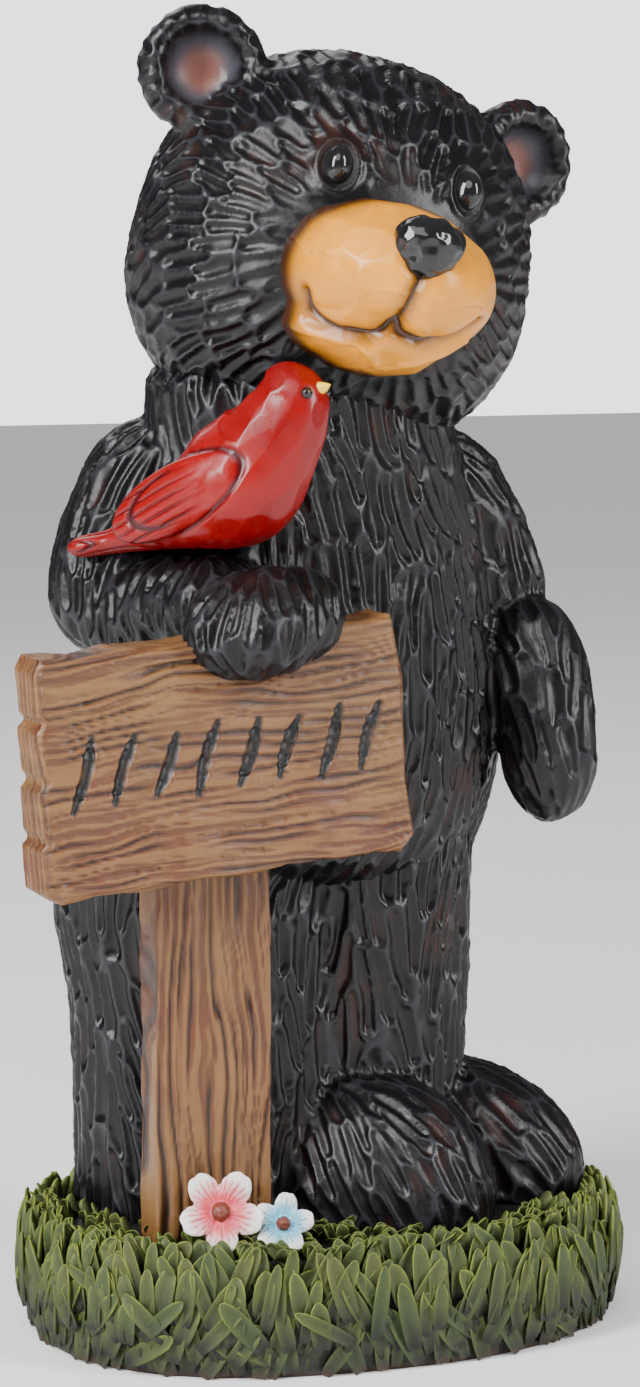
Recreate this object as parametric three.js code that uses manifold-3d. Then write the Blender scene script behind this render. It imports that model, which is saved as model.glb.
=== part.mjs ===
// A painted garden statue of a standing bear, carved in the manner of a chainsaw carving, which rests a
// forearm on a wooden sign and carries a red bird. It stands on an oval mound of grass.
// Millimetres, +Z up. The origin is the centre of the mound's underside, and the sign faces -Y.
import * as THREE from 'three';
import { mergeVertices } from 'three/addons/utils/BufferGeometryUtils.js';
import Module from 'manifold-3d';

const wasm = await Module();
wasm.setup();

// Driving dimensions
const GAP = 0.3; // between pieces that touch
const MOUND_LENGTH = 210;
const MOUND_DEPTH = 153;
const MOUND_TURN = -6; // degrees
const MOUND_SQUARENESS = 2.3; // 2 is an ellipse
const GROUND = 38; // height of the ground that the bear stands on
const BLADE_WIDTH = 13;
const BOARD_WIDTH = 127;
const BOARD_HEIGHT = 78;
const BOARD_THICKNESS = 22;
const BOARD_TILT = 4.5; // degrees, its right end up
const BOARD_SKEW = 1.6; // how far its left end leans out of square, each way
const POST_WIDTH = 41;
const POST_THICKNESS = 16;
const HEAD_WIDTH = 136.5;
const HEAD_HEIGHT = 131;
const JOWLS = 0.08; // how much wider the head is low down than at its middle
const HEAD_DEPTH = 118;
const EAR_WIDTH = 44;
const EAR_THICKNESS = 22;
const FOOT_LENGTH = 108;
const FOOT_WIDTH = 68;
const FOOT_HEIGHT = 42;
const STROKE_LENGTH = 22;
const STROKE_MIDDLE = 1; // above the middle of the board
const STROKE_PITCH = 14;
const STROKE_COUNT = 8;
const PINK_RADIUS = 14.5;
const BLUE_RADIUS = 10.5;
const LOCK_WIDTH = 19; // one gouge of the fur with the ridge beside it
const LOCK_ROW = 18; // a third of the length of a gouge and the ridge below it
const GOUGE_DEPTH = 2;

// Which way the bear is turned, in degrees from -Y towards +X
const FEET_TURN = 33;
const HIP_TURN = 18;
const CHEST_TURN = 12;
const ARM_TURN = 27;
const BIRD_TURN = 38;
const HEAD_TURN = -3;
const HEAD_ROLL = -13;

const UP = new THREE.Vector3(0, 0, 1);

const point = (x, y, z) => new THREE.Vector3(x, y, z);

// The bear's left at a turn, and the way that it faces there
const leftAt = (degrees) => point(1, 0, 0).applyAxisAngle(UP, THREE.MathUtils.degToRad(degrees));
const frontAt = (degrees) => point(0, -1, 0).applyAxisAngle(UP, THREE.MathUtils.degToRad(degrees));

const boardCentre = point(-52.5, -44, 200);
const postCentre = point(-49, boardCentre.y + (BOARD_THICKNESS + POST_THICKNESS) / 2 + GAP, 0);

const moundCentre = point(3, 0, 0);
const pinkCentre = point(-51.8, -44, 51);
const blueCentre = point(-32.5, -50, 46.5);

const head = {
  centre: point(9.5, 4, 358.8),
  front: frontAt(HEAD_TURN),
  left: leftAt(HEAD_TURN),
  up: UP.clone(),
};
for (const direction of [head.left, head.up]) {
  direction.applyAxisAngle(head.front, THREE.MathUtils.degToRad(HEAD_ROLL));
}

// A place on the head, measured from its middle to its left, up and to the front
function onHead(left, up, front) {
  return head.centre.clone()
    .addScaledVector(head.left, left)
    .addScaledVector(head.up, up)
    .addScaledVector(head.front, front);
}

function toManifold(geometry) {
  return new wasm.Manifold(new wasm.Mesh({
    numProp: 3,
    vertProperties: Float32Array.from(geometry.attributes.position.array),
    triVerts: Uint32Array.from(geometry.index.array),
  }));
}

function toGeometry(solid) {
  const { vertProperties, triVerts } = solid.getMesh();
  const geometry = new THREE.BufferGeometry();
  geometry.setAttribute('position', new THREE.BufferAttribute(vertProperties, 3));
  geometry.setIndex(new THREE.BufferAttribute(triVerts, 1));
  geometry.computeVertexNormals();
  return geometry;
}

function weld(geometry) {
  geometry.deleteAttribute('normal');
  geometry.deleteAttribute('uv');
  return mergeVertices(geometry, 1e-4);
}

const joined = (solids) => solids.reduce((sum, solid) => sum.add(solid));

// A box between two corners
function block(low, high) {
  const size = high.clone().sub(low);
  const geometry = new THREE.BoxGeometry(size.x, size.y, size.z);
  geometry.translate(...low.clone().add(high).multiplyScalar(0.5).toArray());
  return toManifold(weld(geometry));
}

// A closed skin of rings between two end points. A ring runs anticlockwise, seen from the last end.
function skin(start, rings, end) {
  const count = rings[0].length;
  const positions = [start, ...rings.flat(), end].flatMap((p) => p.toArray());
  const last = rings.length * count + 1;
  const at = (row, column) => 1 + row * count + (column % count);
  const faces = [];
  for (let i = 0; i < count; i += 1) {
    faces.push(0, at(0, i + 1), at(0, i));
    faces.push(last, at(rings.length - 1, i), at(rings.length - 1, i + 1));
  }
  for (let j = 0; j + 1 < rings.length; j += 1) {
    for (let i = 0; i < count; i += 1) {
      faces.push(at(j, i), at(j, i + 1), at(j + 1, i + 1));
      faces.push(at(j, i), at(j + 1, i + 1), at(j + 1, i));
    }
  }
  const geometry = new THREE.BufferGeometry();
  geometry.setAttribute('position', new THREE.Float32BufferAttribute(positions, 3));
  geometry.setIndex(faces);
  return geometry;
}

// Gouges side by side along a form, each two rows long, and staggered from its neighbours
function furRelief(depth = GOUGE_DEPTH) {
  const STAGGER = [0, 2, 1, 2, 0, 1, 0, 2];
  return (row, column) => {
    const isGouge = column % 2 === 1;
    const isEnd = (row + STAGGER[((column - 1) / 2) % STAGGER.length]) % 3 === 0;
    return isGouge && !isEnd ? -depth : 0;
  };
}

const plain = () => 0;

// A point of an oval of half-width and half-height 1, an ellipse at a fullness of 2
function oval(angle, fullness) {
  const soften = (share) => Math.sign(share) * Math.abs(share) ** (2 / fullness);
  return new THREE.Vector2(soften(Math.cos(angle)), soften(Math.sin(angle)));
}

// A rounded form along a spine. Each station is { at, wide, deep }, where wide is half its width along
// side, and deep half its depth across side and spine. caps are the rounded ends, as shares of the spine.
// A fullness above 2 fills out the corners of its oval section, and spread widens the lower half of it.
function limb({
  stations, sides, caps, lock = LOCK_WIDTH, step = LOCK_ROW, relief = furRelief(), fullness = 2, spread = 0,
}) {
  const spine = new THREE.CatmullRomCurve3(stations.map((s) => s.at), false, 'catmullrom', 0.5);
  const sizes = new THREE.CatmullRomCurve3(stations.map((s) => point(s.wide, s.deep, 0)), false, 'catmullrom', 0.5);
  const rounding = (t) => {
    const start = Math.max(0, 1 - t / caps[0]);
    const end = Math.max(0, 1 - (1 - t) / caps[1]);
    return Math.sqrt(Math.max(0, 1 - start * start - end * end));
  };
  const sizeAt = (t) => sizes.getPoint(t).multiplyScalar(rounding(t));

  // Rows are even along the skin, so that the ends are as fine as the middle
  const SAMPLES = 240;
  const reached = [0];
  let girth = 0;
  for (let k = 1; k <= SAMPLES; k += 1) {
    const along = spine.getPoint(k / SAMPLES).distanceTo(spine.getPoint((k - 1) / SAMPLES));
    const outward = sizeAt(k / SAMPLES).distanceTo(sizeAt((k - 1) / SAMPLES)) * Math.SQRT1_2;
    reached.push(reached[k - 1] + Math.hypot(along, outward));
    const size = sizeAt(k / SAMPLES);
    girth = Math.max(girth, Math.PI * (size.x + size.y));
  }
  const rows = Math.max(3, Math.round(reached[SAMPLES] / step));
  const columns = 2 * Math.max(3, Math.round(girth / lock));
  const rings = [];
  let k = 0;
  for (let row = 1; row < rows; row += 1) {
    const goal = (reached[SAMPLES] * row) / rows;
    while (reached[k + 1] < goal) {
      k += 1;
    }
    const t = (k + (goal - reached[k]) / (reached[k + 1] - reached[k])) / SAMPLES;
    const along = spine.getTangent(t);
    const side = sides[0].clone().lerp(sides[sides.length - 1], t);
    side.addScaledVector(along, -side.dot(along)).normalize();
    const across = along.clone().cross(side);
    const size = sizeAt(t);
    const ring = [];
    for (let column = 0; column < columns; column += 1) {
      const angle = (2 * Math.PI * column) / columns;
      const cut = relief(row, column);
      const full = oval(angle, fullness);
      ring.push(spine.getPoint(t)
        .addScaledVector(side, (size.x + cut) * full.x * (1 - spread * full.y))
        .addScaledVector(across, (size.y + cut) * full.y));
    }
    rings.push(ring);
  }
  return toManifold(skin(spine.getPoint(0), rings, spine.getPoint(1)));
}

// An ellipsoid with its poles at the two ends of axis, reach from its centre
function egg({ centre, axis, side, reach, wide, deep, ...rest }) {
  const ends = [-1, -0.5, 0, 0.5, 1];
  const stations = ends.map((share) => ({ at: centre.clone().addScaledVector(axis, share * reach), wide, deep }));
  return limb({ stations, sides: [side], caps: [0.5, 0.5], ...rest });
}

function torso() {
  return limb({
    stations: [
      { at: point(-8, 25, 141), wide: 61, deep: 48 },
      { at: point(-3.5, 24, 166), wide: 76, deep: 57 },
      { at: point(3, 21, 192), wide: 79, deep: 58 },
      { at: point(6, 17, 236), wide: 72, deep: 54 },
      { at: point(3, 13, 282), wide: 58, deep: 48 },
      { at: point(0, 12, 302), wide: 54, deep: 47 },
      { at: point(0, 10, 332), wide: 54, deep: 46 },
    ],
    sides: [leftAt(HIP_TURN), leftAt(CHEST_TURN)],
    caps: [0.16, 0.1],
  });
}

function leg(stations) {
  return limb({ stations, sides: [leftAt(HIP_TURN)], caps: [0.08, 0.2] });
}

function foot(x, y, height) {
  return egg({
    centre: point(x, y, GROUND + 7),
    axis: frontAt(FEET_TURN),
    side: leftAt(FEET_TURN),
    reach: FOOT_LENGTH / 2,
    wide: FOOT_WIDTH / 2,
    deep: height,
  });
}

function skull() {
  return egg({
    centre: head.centre,
    axis: head.front,
    side: head.left,
    reach: HEAD_DEPTH / 2,
    wide: HEAD_WIDTH / 2,
    deep: HEAD_HEIGHT / 2,
    fullness: 2.3,
    spread: JOWLS,
  });
}

// An ear is a thick disc with a cup pressed into its front
function ear(left, up) {
  const centre = onHead(left, up, 4);
  const outward = head.left.clone().multiplyScalar(Math.sign(left));
  const facing = head.front.clone().addScaledVector(outward, 0.25).normalize();
  const shell = egg({
    centre,
    axis: facing,
    side: head.left,
    reach: EAR_THICKNESS / 2,
    wide: EAR_WIDTH / 2,
    deep: EAR_WIDTH / 2,
    step: 8,
    relief: furRelief(1.4),
  });
  const cup = egg({
    centre: centre.clone().addScaledVector(facing, EAR_THICKNESS * 0.62),
    axis: facing,
    side: head.left,
    reach: EAR_THICKNESS * 0.42,
    wide: EAR_WIDTH * 0.3,
    deep: EAR_WIDTH * 0.3,
    lock: 10,
    step: 7,
    relief: plain,
  });
  return shell.subtract(cup);
}

// The muzzle has an upper lip with a seam below the nose, and a lower lip that the mouth parts from it
function muzzle() {
  const shared = { axis: head.front, side: head.left, relief: plain, lock: 18, step: 11 };
  const upper = egg({ ...shared, centre: onHead(1, -8, 48), reach: 46, wide: 39, deep: 27 });
  const lower = egg({ ...shared, centre: onHead(0, -22, 45), reach: 38, wide: 29, deep: 18.5 });
  const seam = [onHead(0, 2, 92), onHead(0, -12, 94.5), onHead(0, -26, 85)];
  const mouth = [
    onHead(-30, -13, 78),
    onHead(-17, -25, 79.5),
    onHead(0, -26, 84.5),
    onHead(17, -25, 79.5),
    onHead(30, -13, 78),
  ];
  return upper.add(lower).subtract(furrow(seam, 2.2)).subtract(furrow(mouth, 2.4));
}

function nose() {
  return egg({
    centre: onHead(-0.5, -1, 91),
    axis: head.front,
    side: head.left,
    reach: 8,
    wide: 11,
    deep: 9,
    lock: 7,
    step: 4,
    relief: plain,
  });
}

function eye(left, up) {
  return egg({
    centre: onHead(left, up, 51),
    axis: head.front,
    side: head.left,
    reach: 6,
    wide: 5,
    deep: 7,
    lock: 5,
    step: 4,
    relief: plain,
  });
}

// The right arm leans forward, so that its paw hangs over the board
function rightArm() {
  const upper = limb({
    stations: [
      { at: point(-34, 22, 303), wide: 26, deep: 28 },
      { at: point(-48, 24, 273), wide: 26, deep: 28 },
      { at: point(-58, 22, 248), wide: 26, deep: 27 },
      { at: point(-58, 14, 226), wide: 23, deep: 24 },
    ],
    sides: [leftAt(ARM_TURN)],
    caps: [0.3, 0.3],
  });
  const fore = limb({
    stations: [
      { at: point(-66, 28, 234), wide: 22, deep: 22 },
      { at: point(-56, 2, 241), wide: 20, deep: 20 },
      { at: point(-46, -24, 245), wide: 20, deep: 18 },
      { at: point(-40, -48, 243), wide: 22, deep: 17 },
    ],
    sides: [leftAt(ARM_TURN)],
    caps: [0.25, 0.3],
  });
  const paw = egg({
    centre: point(-41, -51, 242),
    axis: frontAt(HIP_TURN).addScaledVector(UP, -0.45).normalize(),
    side: leftAt(HIP_TURN).addScaledVector(UP, 0.3).normalize(),
    reach: 21,
    wide: 27,
    deep: 17,
  });
  return upper.add(fore).add(paw);
}

function leftArm() {
  const upper = limb({
    stations: [
      { at: point(38, 18, 298), wide: 19, deep: 21 },
      { at: point(56.8, 16, 273), wide: 20.8, deep: 24 },
      { at: point(69, 12, 246), wide: 20, deep: 23 },
      { at: point(71, 8, 222), wide: 18, deep: 22 },
    ],
    sides: [leftAt(ARM_TURN)],
    caps: [0.3, 0.3],
  });
  const fore = limb({
    stations: [
      { at: point(74.5, 0, 243), wide: 13, deep: 13 },
      { at: point(78.5, -11, 220), wide: 18, deep: 17 },
      { at: point(79.5, -18, 192), wide: 18, deep: 17 },
      { at: point(80, -20, 165.5), wide: 17, deep: 16 },
    ],
    sides: [leftAt(ARM_TURN)],
    caps: [0.25, 0.3],
  });
  return upper.add(fore);
}

function bear() {
  const forms = joined([
    torso(),
    leg([
      { at: point(-29, 24, 24), wide: 45, deep: 48 },
      { at: point(-29, 24, 70), wide: 45, deep: 48 },
      { at: point(-30, 24, 110), wide: 46, deep: 48 },
      { at: point(-32, 25, 150), wide: 49, deep: 49 },
      { at: point(-24, 22, 190), wide: 46, deep: 46 },
    ]),
    leg([
      { at: point(21, 27, 24), wide: 42, deep: 47 },
      { at: point(21, 27, 70), wide: 42, deep: 47 },
      { at: point(22, 27, 110), wide: 44, deep: 48 },
      { at: point(22, 26, 150), wide: 44, deep: 48 },
      { at: point(24, 26, 190), wide: 45, deep: 48 },
    ]),
    foot(12, -6, FOOT_HEIGHT),
    foot(56, 14, FOOT_HEIGHT - 5),
    skull(),
    ear(-59, 45.5),
    ear(55, 42.5),
    muzzle(),
    nose(),
    eye(-23.5, 21.5),
    eye(20.7, 23.5),
    rightArm(),
    leftArm(),
  ]);
  const below = block(point(-200, -200, -50), point(200, 200, GROUND + GAP));
  return forms.subtract(below).subtract(post(GAP)).subtract(board(GAP));
}

// The board's outline has worn ends, notched on the left
function boardOutline(grow) {
  const halfWidth = BOARD_WIDTH / 2 + grow;
  const halfHeight = BOARD_HEIGHT / 2 + grow;
  const outline = new THREE.Shape();
  outline.moveTo(-halfWidth + 3, -halfHeight);
  const WAVES = 8;
  for (let k = 1; k < WAVES; k += 1) {
    outline.lineTo(-halfWidth + (BOARD_WIDTH * k) / WAVES, -halfHeight + (k % 2 === 0 ? 0 : 1.2));
  }
  outline.lineTo(halfWidth - 4, -halfHeight);
  outline.lineTo(halfWidth, -halfHeight + 4);
  outline.lineTo(halfWidth - 2, -halfHeight + BOARD_HEIGHT * 0.3);
  outline.lineTo(halfWidth - 0.5, halfHeight - BOARD_HEIGHT * 0.25);
  outline.lineTo(halfWidth - 3, halfHeight);
  for (let k = WAVES - 1; k > 0; k -= 1) {
    outline.lineTo(-halfWidth + (BOARD_WIDTH * k) / WAVES, halfHeight - (k % 2 === 0 ? 0 : 1));
  }
  outline.lineTo(-halfWidth + 3, halfHeight);
  const endAt = (z) => -halfWidth + (BOARD_SKEW * z) / halfHeight;
  const NOTCHES = 4;
  for (let k = NOTCHES; k > 0; k -= 1) {
    const middle = -halfHeight + (2 * halfHeight * (k - 0.5)) / NOTCHES;
    outline.lineTo(endAt(middle), middle + BOARD_HEIGHT * 0.08);
    outline.lineTo(endAt(middle), middle - BOARD_HEIGHT * 0.08);
    if (k > 1) {
      outline.lineTo(endAt(middle) + 2.5, middle - BOARD_HEIGHT * 0.125);
    }
  }
  outline.closePath();
  return outline;
}

// A place on the front face of the board, from its middle
function onBoard(x, z) {
  const tilt = THREE.MathUtils.degToRad(BOARD_TILT);
  return boardCentre.clone().add(point(
    x * Math.cos(tilt) - z * Math.sin(tilt),
    -BOARD_THICKNESS / 2,
    x * Math.sin(tilt) + z * Math.cos(tilt),
  ));
}

// The board with its grain, and the rows of short strokes that are cut across its middle
function carvedBoard() {
  const grain = [-0.4, -0.29, 0.3, 0.41].map((share, k) => {
    const shift = k % 2 === 0 ? -8 : 6;
    return furrow([-50, -18, 14, 46].map((x, j) => onBoard(
      x + shift,
      share * BOARD_HEIGHT + (j % 2 === 0 ? 0.8 : -0.8),
    )), 1.1);
  });
  const strokes = [];
  for (let k = 0; k < STROKE_COUNT; k += 1) {
    const x = (k - (STROKE_COUNT - 1) / 2) * STROKE_PITCH;
    const half = STROKE_LENGTH / 2 - (k % 3);
    strokes.push(furrow([
      onBoard(x + 4, STROKE_MIDDLE + half),
      onBoard(x + (k % 2 === 0 ? 1 : -1), STROKE_MIDDLE),
      onBoard(x - 4, STROKE_MIDDLE - half),
    ], 1.7));
  }
  return board().subtract(joined([...grain, ...strokes]));
}

// The post with its grain
function carvedPost() {
  const front = postCentre.y - POST_THICKNESS / 2;
  const grain = [-11, 1, 12].map((x, k) => furrow([52, 88, 124, 158].map((z, j) => point(
    postCentre.x + x + (j % 2 === 0 ? 0.7 : -0.7),
    front,
    z - 8 * (k % 2),
  )), 1.1));
  return post().subtract(joined(grain));
}

function board(grow = 0) {
  const bevel = grow > 0 ? 0 : 2;
  const depth = BOARD_THICKNESS + 2 * grow - 2 * bevel;
  const geometry = new THREE.ExtrudeGeometry(boardOutline(grow - bevel), {
    depth,
    steps: 1,
    bevelEnabled: bevel > 0,
    bevelThickness: bevel,
    bevelSize: bevel,
    bevelSegments: 1,
  });
  geometry.translate(0, 0, -depth / 2);
  geometry.rotateX(Math.PI / 2);
  geometry.rotateY(-THREE.MathUtils.degToRad(BOARD_TILT));
  geometry.translate(...boardCentre.toArray());
  return toManifold(weld(geometry));
}

function post(grow = 0) {
  const top = boardCentre.z + BOARD_HEIGHT * 0.3;
  const low = point(postCentre.x - POST_WIDTH / 2 - grow, postCentre.y - POST_THICKNESS / 2 - grow, GROUND + GAP);
  const high = point(postCentre.x + POST_WIDTH / 2 + grow, postCentre.y + POST_THICKNESS / 2 + grow, top + grow);
  return block(low, high);
}

// A thin groove that is cut along points, deepest in its middle
function furrow(points, radius) {
  return limb({
    stations: points.map((at) => ({ at, wide: radius, deep: radius })),
    sides: [point(0.2, 0.9, 0.4)],
    caps: [0.3, 0.3],
    lock: 20,
    step: 24,
    relief: plain,
  });
}

// The mound's rings from its underside up. Each is { height, share of its plan's size, out, up }: every
// second corner is the tip of a blade, which stands out and up, and shift sets a tier between the last one's.
const MOUND_RINGS = [
  { height: 0, share: 0.97, out: 0, up: 0 },
  { height: 13, share: 1.01, out: 1.2, up: 3.5 },
  { height: 16, share: 0.985, out: -1, up: 1.5 },
  { height: 25, share: 0.965, out: -1.2, up: -3.5 },
  { height: 28, share: 0.935, out: 1, up: -1.5 },
  { height: 38.5, share: 0.88, out: 1.4, up: 3.5 },
  { height: GROUND, share: 0.82, out: 0, up: 0 },
];

function mound() {
  const blades = Math.round((Math.PI * (MOUND_LENGTH + MOUND_DEPTH)) / 2 / BLADE_WIDTH);
  const rings = MOUND_RINGS.map(({ height, share, out, up }) => {
    const ring = [];
    for (let column = 0; column < 2 * blades; column += 1) {
      const sign = column % 2 === 0 ? 1 : -1;
      const plan = oval((Math.PI * column) / blades, MOUND_SQUARENESS);
      const corner = point(
        plan.x * (share * (MOUND_LENGTH / 2) + sign * out),
        plan.y * (share * (MOUND_DEPTH / 2) + sign * out),
        height + sign * up,
      );
      ring.push(corner.applyAxisAngle(UP, THREE.MathUtils.degToRad(MOUND_TURN)).add(moundCentre));
    }
    return ring;
  });
  const grass = toManifold(skin(moundCentre, rings, point(moundCentre.x, moundCentre.y, GROUND)));
  return grass.subtract(joined([
    footprint(-30, 24, HIP_TURN, 46, 48),
    footprint(21, 27, HIP_TURN, 42, 47),
    footprint(12, -6, FEET_TURN, FOOT_WIDTH / 2, FOOT_LENGTH / 2),
    footprint(56, 14, FEET_TURN, FOOT_WIDTH / 2, FOOT_LENGTH / 2),
  ]));
}

// The grass stands clear of a foot or leg by this oval above the ground
function footprint(x, y, turn, wide, deep) {
  const CLEAR = 1;
  const outline = new THREE.Shape();
  outline.absellipse(0, 0, wide + CLEAR, deep + CLEAR, 0, 2 * Math.PI, false, 0);
  const geometry = new THREE.ExtrudeGeometry(outline, { depth: 60, bevelEnabled: false, curveSegments: 28 });
  geometry.rotateZ(THREE.MathUtils.degToRad(turn));
  geometry.translate(x, y, GROUND);
  return toManifold(weld(geometry));
}

// The bird lies along the forearm, its head over the paw
function bird() {
  const across = leftAt(BIRD_TURN);
  const shared = { sides: [across], lock: 13, step: 9, relief: plain };
  const body = limb({
    ...shared,
    stations: [
      { at: point(-79.5, 12, 261.5), wide: 9, deep: 3.5 },
      { at: point(-66, -2, 267), wide: 7, deep: 5.5 },
      { at: point(-54, -18, 276), wide: 14, deep: 12 },
      { at: point(-41, -35, 285.5), wide: 19, deep: 20 },
      { at: point(-32, -46, 301), wide: 16, deep: 17 },
      { at: point(-28, -50, 318), wide: 12, deep: 12 },
    ],
    caps: [0.05, 0.2],
  });
  const beak = limb({
    ...shared,
    stations: [
      { at: point(-30, -50, 313), wide: 4, deep: 4 },
      { at: point(-26, -57, 316), wide: 3, deep: 3 },
      { at: point(-21, -65, 318.5), wide: 0.6, deep: 0.6 },
    ],
    caps: [0.2, 0.3],
    lock: 5,
    step: 4,
  });
  const wing = (side) => egg({
    centre: point(-51, -24, 281).addScaledVector(across, side * 13),
    axis: point(0.52, -0.72, 0.46).normalize(),
    side: across,
    reach: 27,
    wide: 5,
    deep: 11,
    lock: 13,
    step: 11,
    relief: plain,
  });
  return joined([body, beak, wing(-1), wing(1)]);
}

// Five petals about a button, facing the front and up
function flower(centre, radius, firstPetal) {
  const facing = point(-0.25, -0.88, 0.4).normalize();
  const right = point(1, 0, 0).cross(facing).cross(facing).negate().normalize();
  const up = facing.clone().cross(right);
  const petals = [];
  for (let k = 0; k < 5; k += 1) {
    const angle = THREE.MathUtils.degToRad(firstPetal + 72 * k);
    const outward = right.clone().multiplyScalar(Math.cos(angle)).addScaledVector(up, Math.sin(angle));
    petals.push(egg({
      centre: centre.clone().addScaledVector(outward, radius * 0.56),
      axis: outward,
      side: facing,
      reach: radius * 0.46,
      wide: 2,
      deep: radius * 0.34,
      lock: radius * 0.5,
      step: radius * 0.4,
      relief: plain,
    }));
  }
  const button = egg({
    centre: centre.clone().addScaledVector(facing, 1),
    axis: facing,
    side: right,
    reach: 2.2,
    wide: radius * 0.24,
    deep: radius * 0.24,
    lock: 5,
    step: 3,
    relief: plain,
  });
  return joined([...petals, button]);
}

// What is left of a solid that stands off another by the gap
function clearOf(solid, other) {
  const ways = [point(0, 0, 1), point(0, 0, -1), point(1, 0, 0), point(-1, 0, 0), point(0, 1, 0), point(0, -1, 0)];
  let left = solid.subtract(other);
  for (const way of ways) {
    const geometry = toGeometry(other);
    geometry.translate(...way.multiplyScalar(GAP).toArray());
    left = left.subtract(toManifold(geometry));
  }
  return left;
}

function mesh(name, solid, colour, roughness) {
  const material = new THREE.MeshStandardMaterial({ color: colour, roughness, metalness: 0 });
  const piece = new THREE.Mesh(toGeometry(solid), material);
  piece.name = name;
  return piece;
}

const wholeBear = bear();
const perchedBird = clearOf(bird(), wholeBear);
const grass = mound();
const pinkFlower = clearOf(flower(pinkCentre, PINK_RADIUS, 54), grass);
const blueFlower = clearOf(flower(blueCentre, BLUE_RADIUS, 30), pinkFlower.add(grass));

const statue = new THREE.Group();
statue.add(
  mesh('bear', wholeBear, 0x26262a, 0.35),
  mesh('grass_base', grass, 0x4a6a2c, 0.8),
  mesh('sign_board', carvedBoard(), 0x9a6d46, 0.6),
  mesh('sign_post', carvedPost(), 0x9a6d46, 0.6),
  mesh('red_bird', perchedBird, 0xb5121c, 0.25),
  mesh('pink_flower', pinkFlower, 0xe88a94, 0.5),
  mesh('blue_flower', blueFlower, 0x9fd0e6, 0.5),
);

export default statue;
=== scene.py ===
"""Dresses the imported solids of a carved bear: gouged fur, painted face, sign, bird, flowers and grass."""

import math

import bpy
import numpy as np
from bpy.props import FloatProperty, FloatVectorProperty, IntProperty, PointerProperty
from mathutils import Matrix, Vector, kdtree


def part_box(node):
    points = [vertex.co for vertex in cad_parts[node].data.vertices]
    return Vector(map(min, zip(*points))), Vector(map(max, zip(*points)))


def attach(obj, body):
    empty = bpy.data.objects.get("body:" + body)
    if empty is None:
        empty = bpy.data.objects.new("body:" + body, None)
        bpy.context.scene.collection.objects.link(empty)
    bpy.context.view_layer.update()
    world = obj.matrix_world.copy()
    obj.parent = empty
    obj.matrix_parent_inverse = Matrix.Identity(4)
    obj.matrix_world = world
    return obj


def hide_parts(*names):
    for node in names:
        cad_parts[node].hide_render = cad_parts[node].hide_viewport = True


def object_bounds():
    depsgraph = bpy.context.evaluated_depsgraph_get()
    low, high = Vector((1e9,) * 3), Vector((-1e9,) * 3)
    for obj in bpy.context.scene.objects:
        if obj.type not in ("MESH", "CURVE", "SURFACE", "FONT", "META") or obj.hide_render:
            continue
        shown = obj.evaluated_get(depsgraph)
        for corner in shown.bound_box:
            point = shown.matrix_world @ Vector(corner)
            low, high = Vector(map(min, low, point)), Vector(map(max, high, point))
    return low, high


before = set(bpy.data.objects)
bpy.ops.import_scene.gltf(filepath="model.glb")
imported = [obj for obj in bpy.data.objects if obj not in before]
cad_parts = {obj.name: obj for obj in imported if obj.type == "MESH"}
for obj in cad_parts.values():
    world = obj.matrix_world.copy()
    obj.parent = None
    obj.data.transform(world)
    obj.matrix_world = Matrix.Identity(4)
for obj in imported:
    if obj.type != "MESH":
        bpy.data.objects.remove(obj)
FRAME_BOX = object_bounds()

bl_info = {
    "name": "Carved Bear Statue",
    "version": (1, 0, 0),
    "blender": (4, 5, 0),
    "location": "3D View > Sidebar > Statue",
    "description": "Dresses the solids of a carved bear statue with gouged fur, paint, wood grain and grass",
    "category": "Object",
}

# Everything below is measured in millimetres, and goes into the meshes in metres
MM = 0.001

# Which way each part is turned, in degrees from the front towards the bear's left
FEET_TURN = 33
HIP_TURN = 18
CHEST_TURN = 12
ARM_TURN = 27
BIRD_TURN = 38
HEAD_TURN = -3
HEAD_ROLL = -13
MOUND_TURN = -6
BOARD_TILT = 4.5

GROUND = 38
HEAD_CENTRE = np.array((9.5, 4, 358.8))
BOARD_CENTRE = np.array((-52.5, -44, 200))
MOUND_CENTRE = np.array((3.0, 0, 0))
PINK_CENTRE = np.array((-51.8, -44, 51))
BLUE_CENTRE = np.array((-32.5, -50, 46.5))

# Half the size of the head, and places on its front as (to the left of its middle, up from it)
HEAD_WIDE, HEAD_HIGH, HEAD_DEEP = 68.25, 65.5, 59
MUZZLE = (-0.7, -10)
EYES = ((-23.5, 21.5), (20.7, 23.5))
EARS = ((-59, 45.5), (55, 42.5))


# Directions and curves


def unit(vectors):
    vectors = np.asarray(vectors, float)
    return vectors / np.maximum(np.linalg.norm(vectors, axis=-1, keepdims=True), 1e-9)


def turned(vector, degrees, axis=(0, 0, 1)):
    """A vector turned about an axis, by the right-hand rule."""
    vector, axis = np.asarray(vector, float), unit(axis)
    angle = math.radians(degrees)
    return (
        vector * math.cos(angle)
        + np.cross(axis, vector) * math.sin(angle)
        + axis * (vector @ axis) * (1 - math.cos(angle))
    )


def left_at(degrees):
    return turned((1, 0, 0), degrees)


def front_at(degrees):
    return turned((0, -1, 0), degrees)


HEAD_FRONT = front_at(HEAD_TURN)
HEAD_LEFT = turned(left_at(HEAD_TURN), HEAD_ROLL, HEAD_FRONT)
HEAD_UP = turned((0, 0, 1), HEAD_ROLL, HEAD_FRONT)


def on_head(left, up, front):
    """A place on the head, from its middle to its left, up and to the front."""
    return HEAD_CENTRE + left * HEAD_LEFT + up * HEAD_UP + front * HEAD_FRONT


def from_head(points, origin=HEAD_CENTRE):
    """How far points lie to the left of a place on the head, up from it and in front of it."""
    away = points - origin
    return away @ HEAD_LEFT, away @ HEAD_UP, away @ HEAD_FRONT


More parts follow.
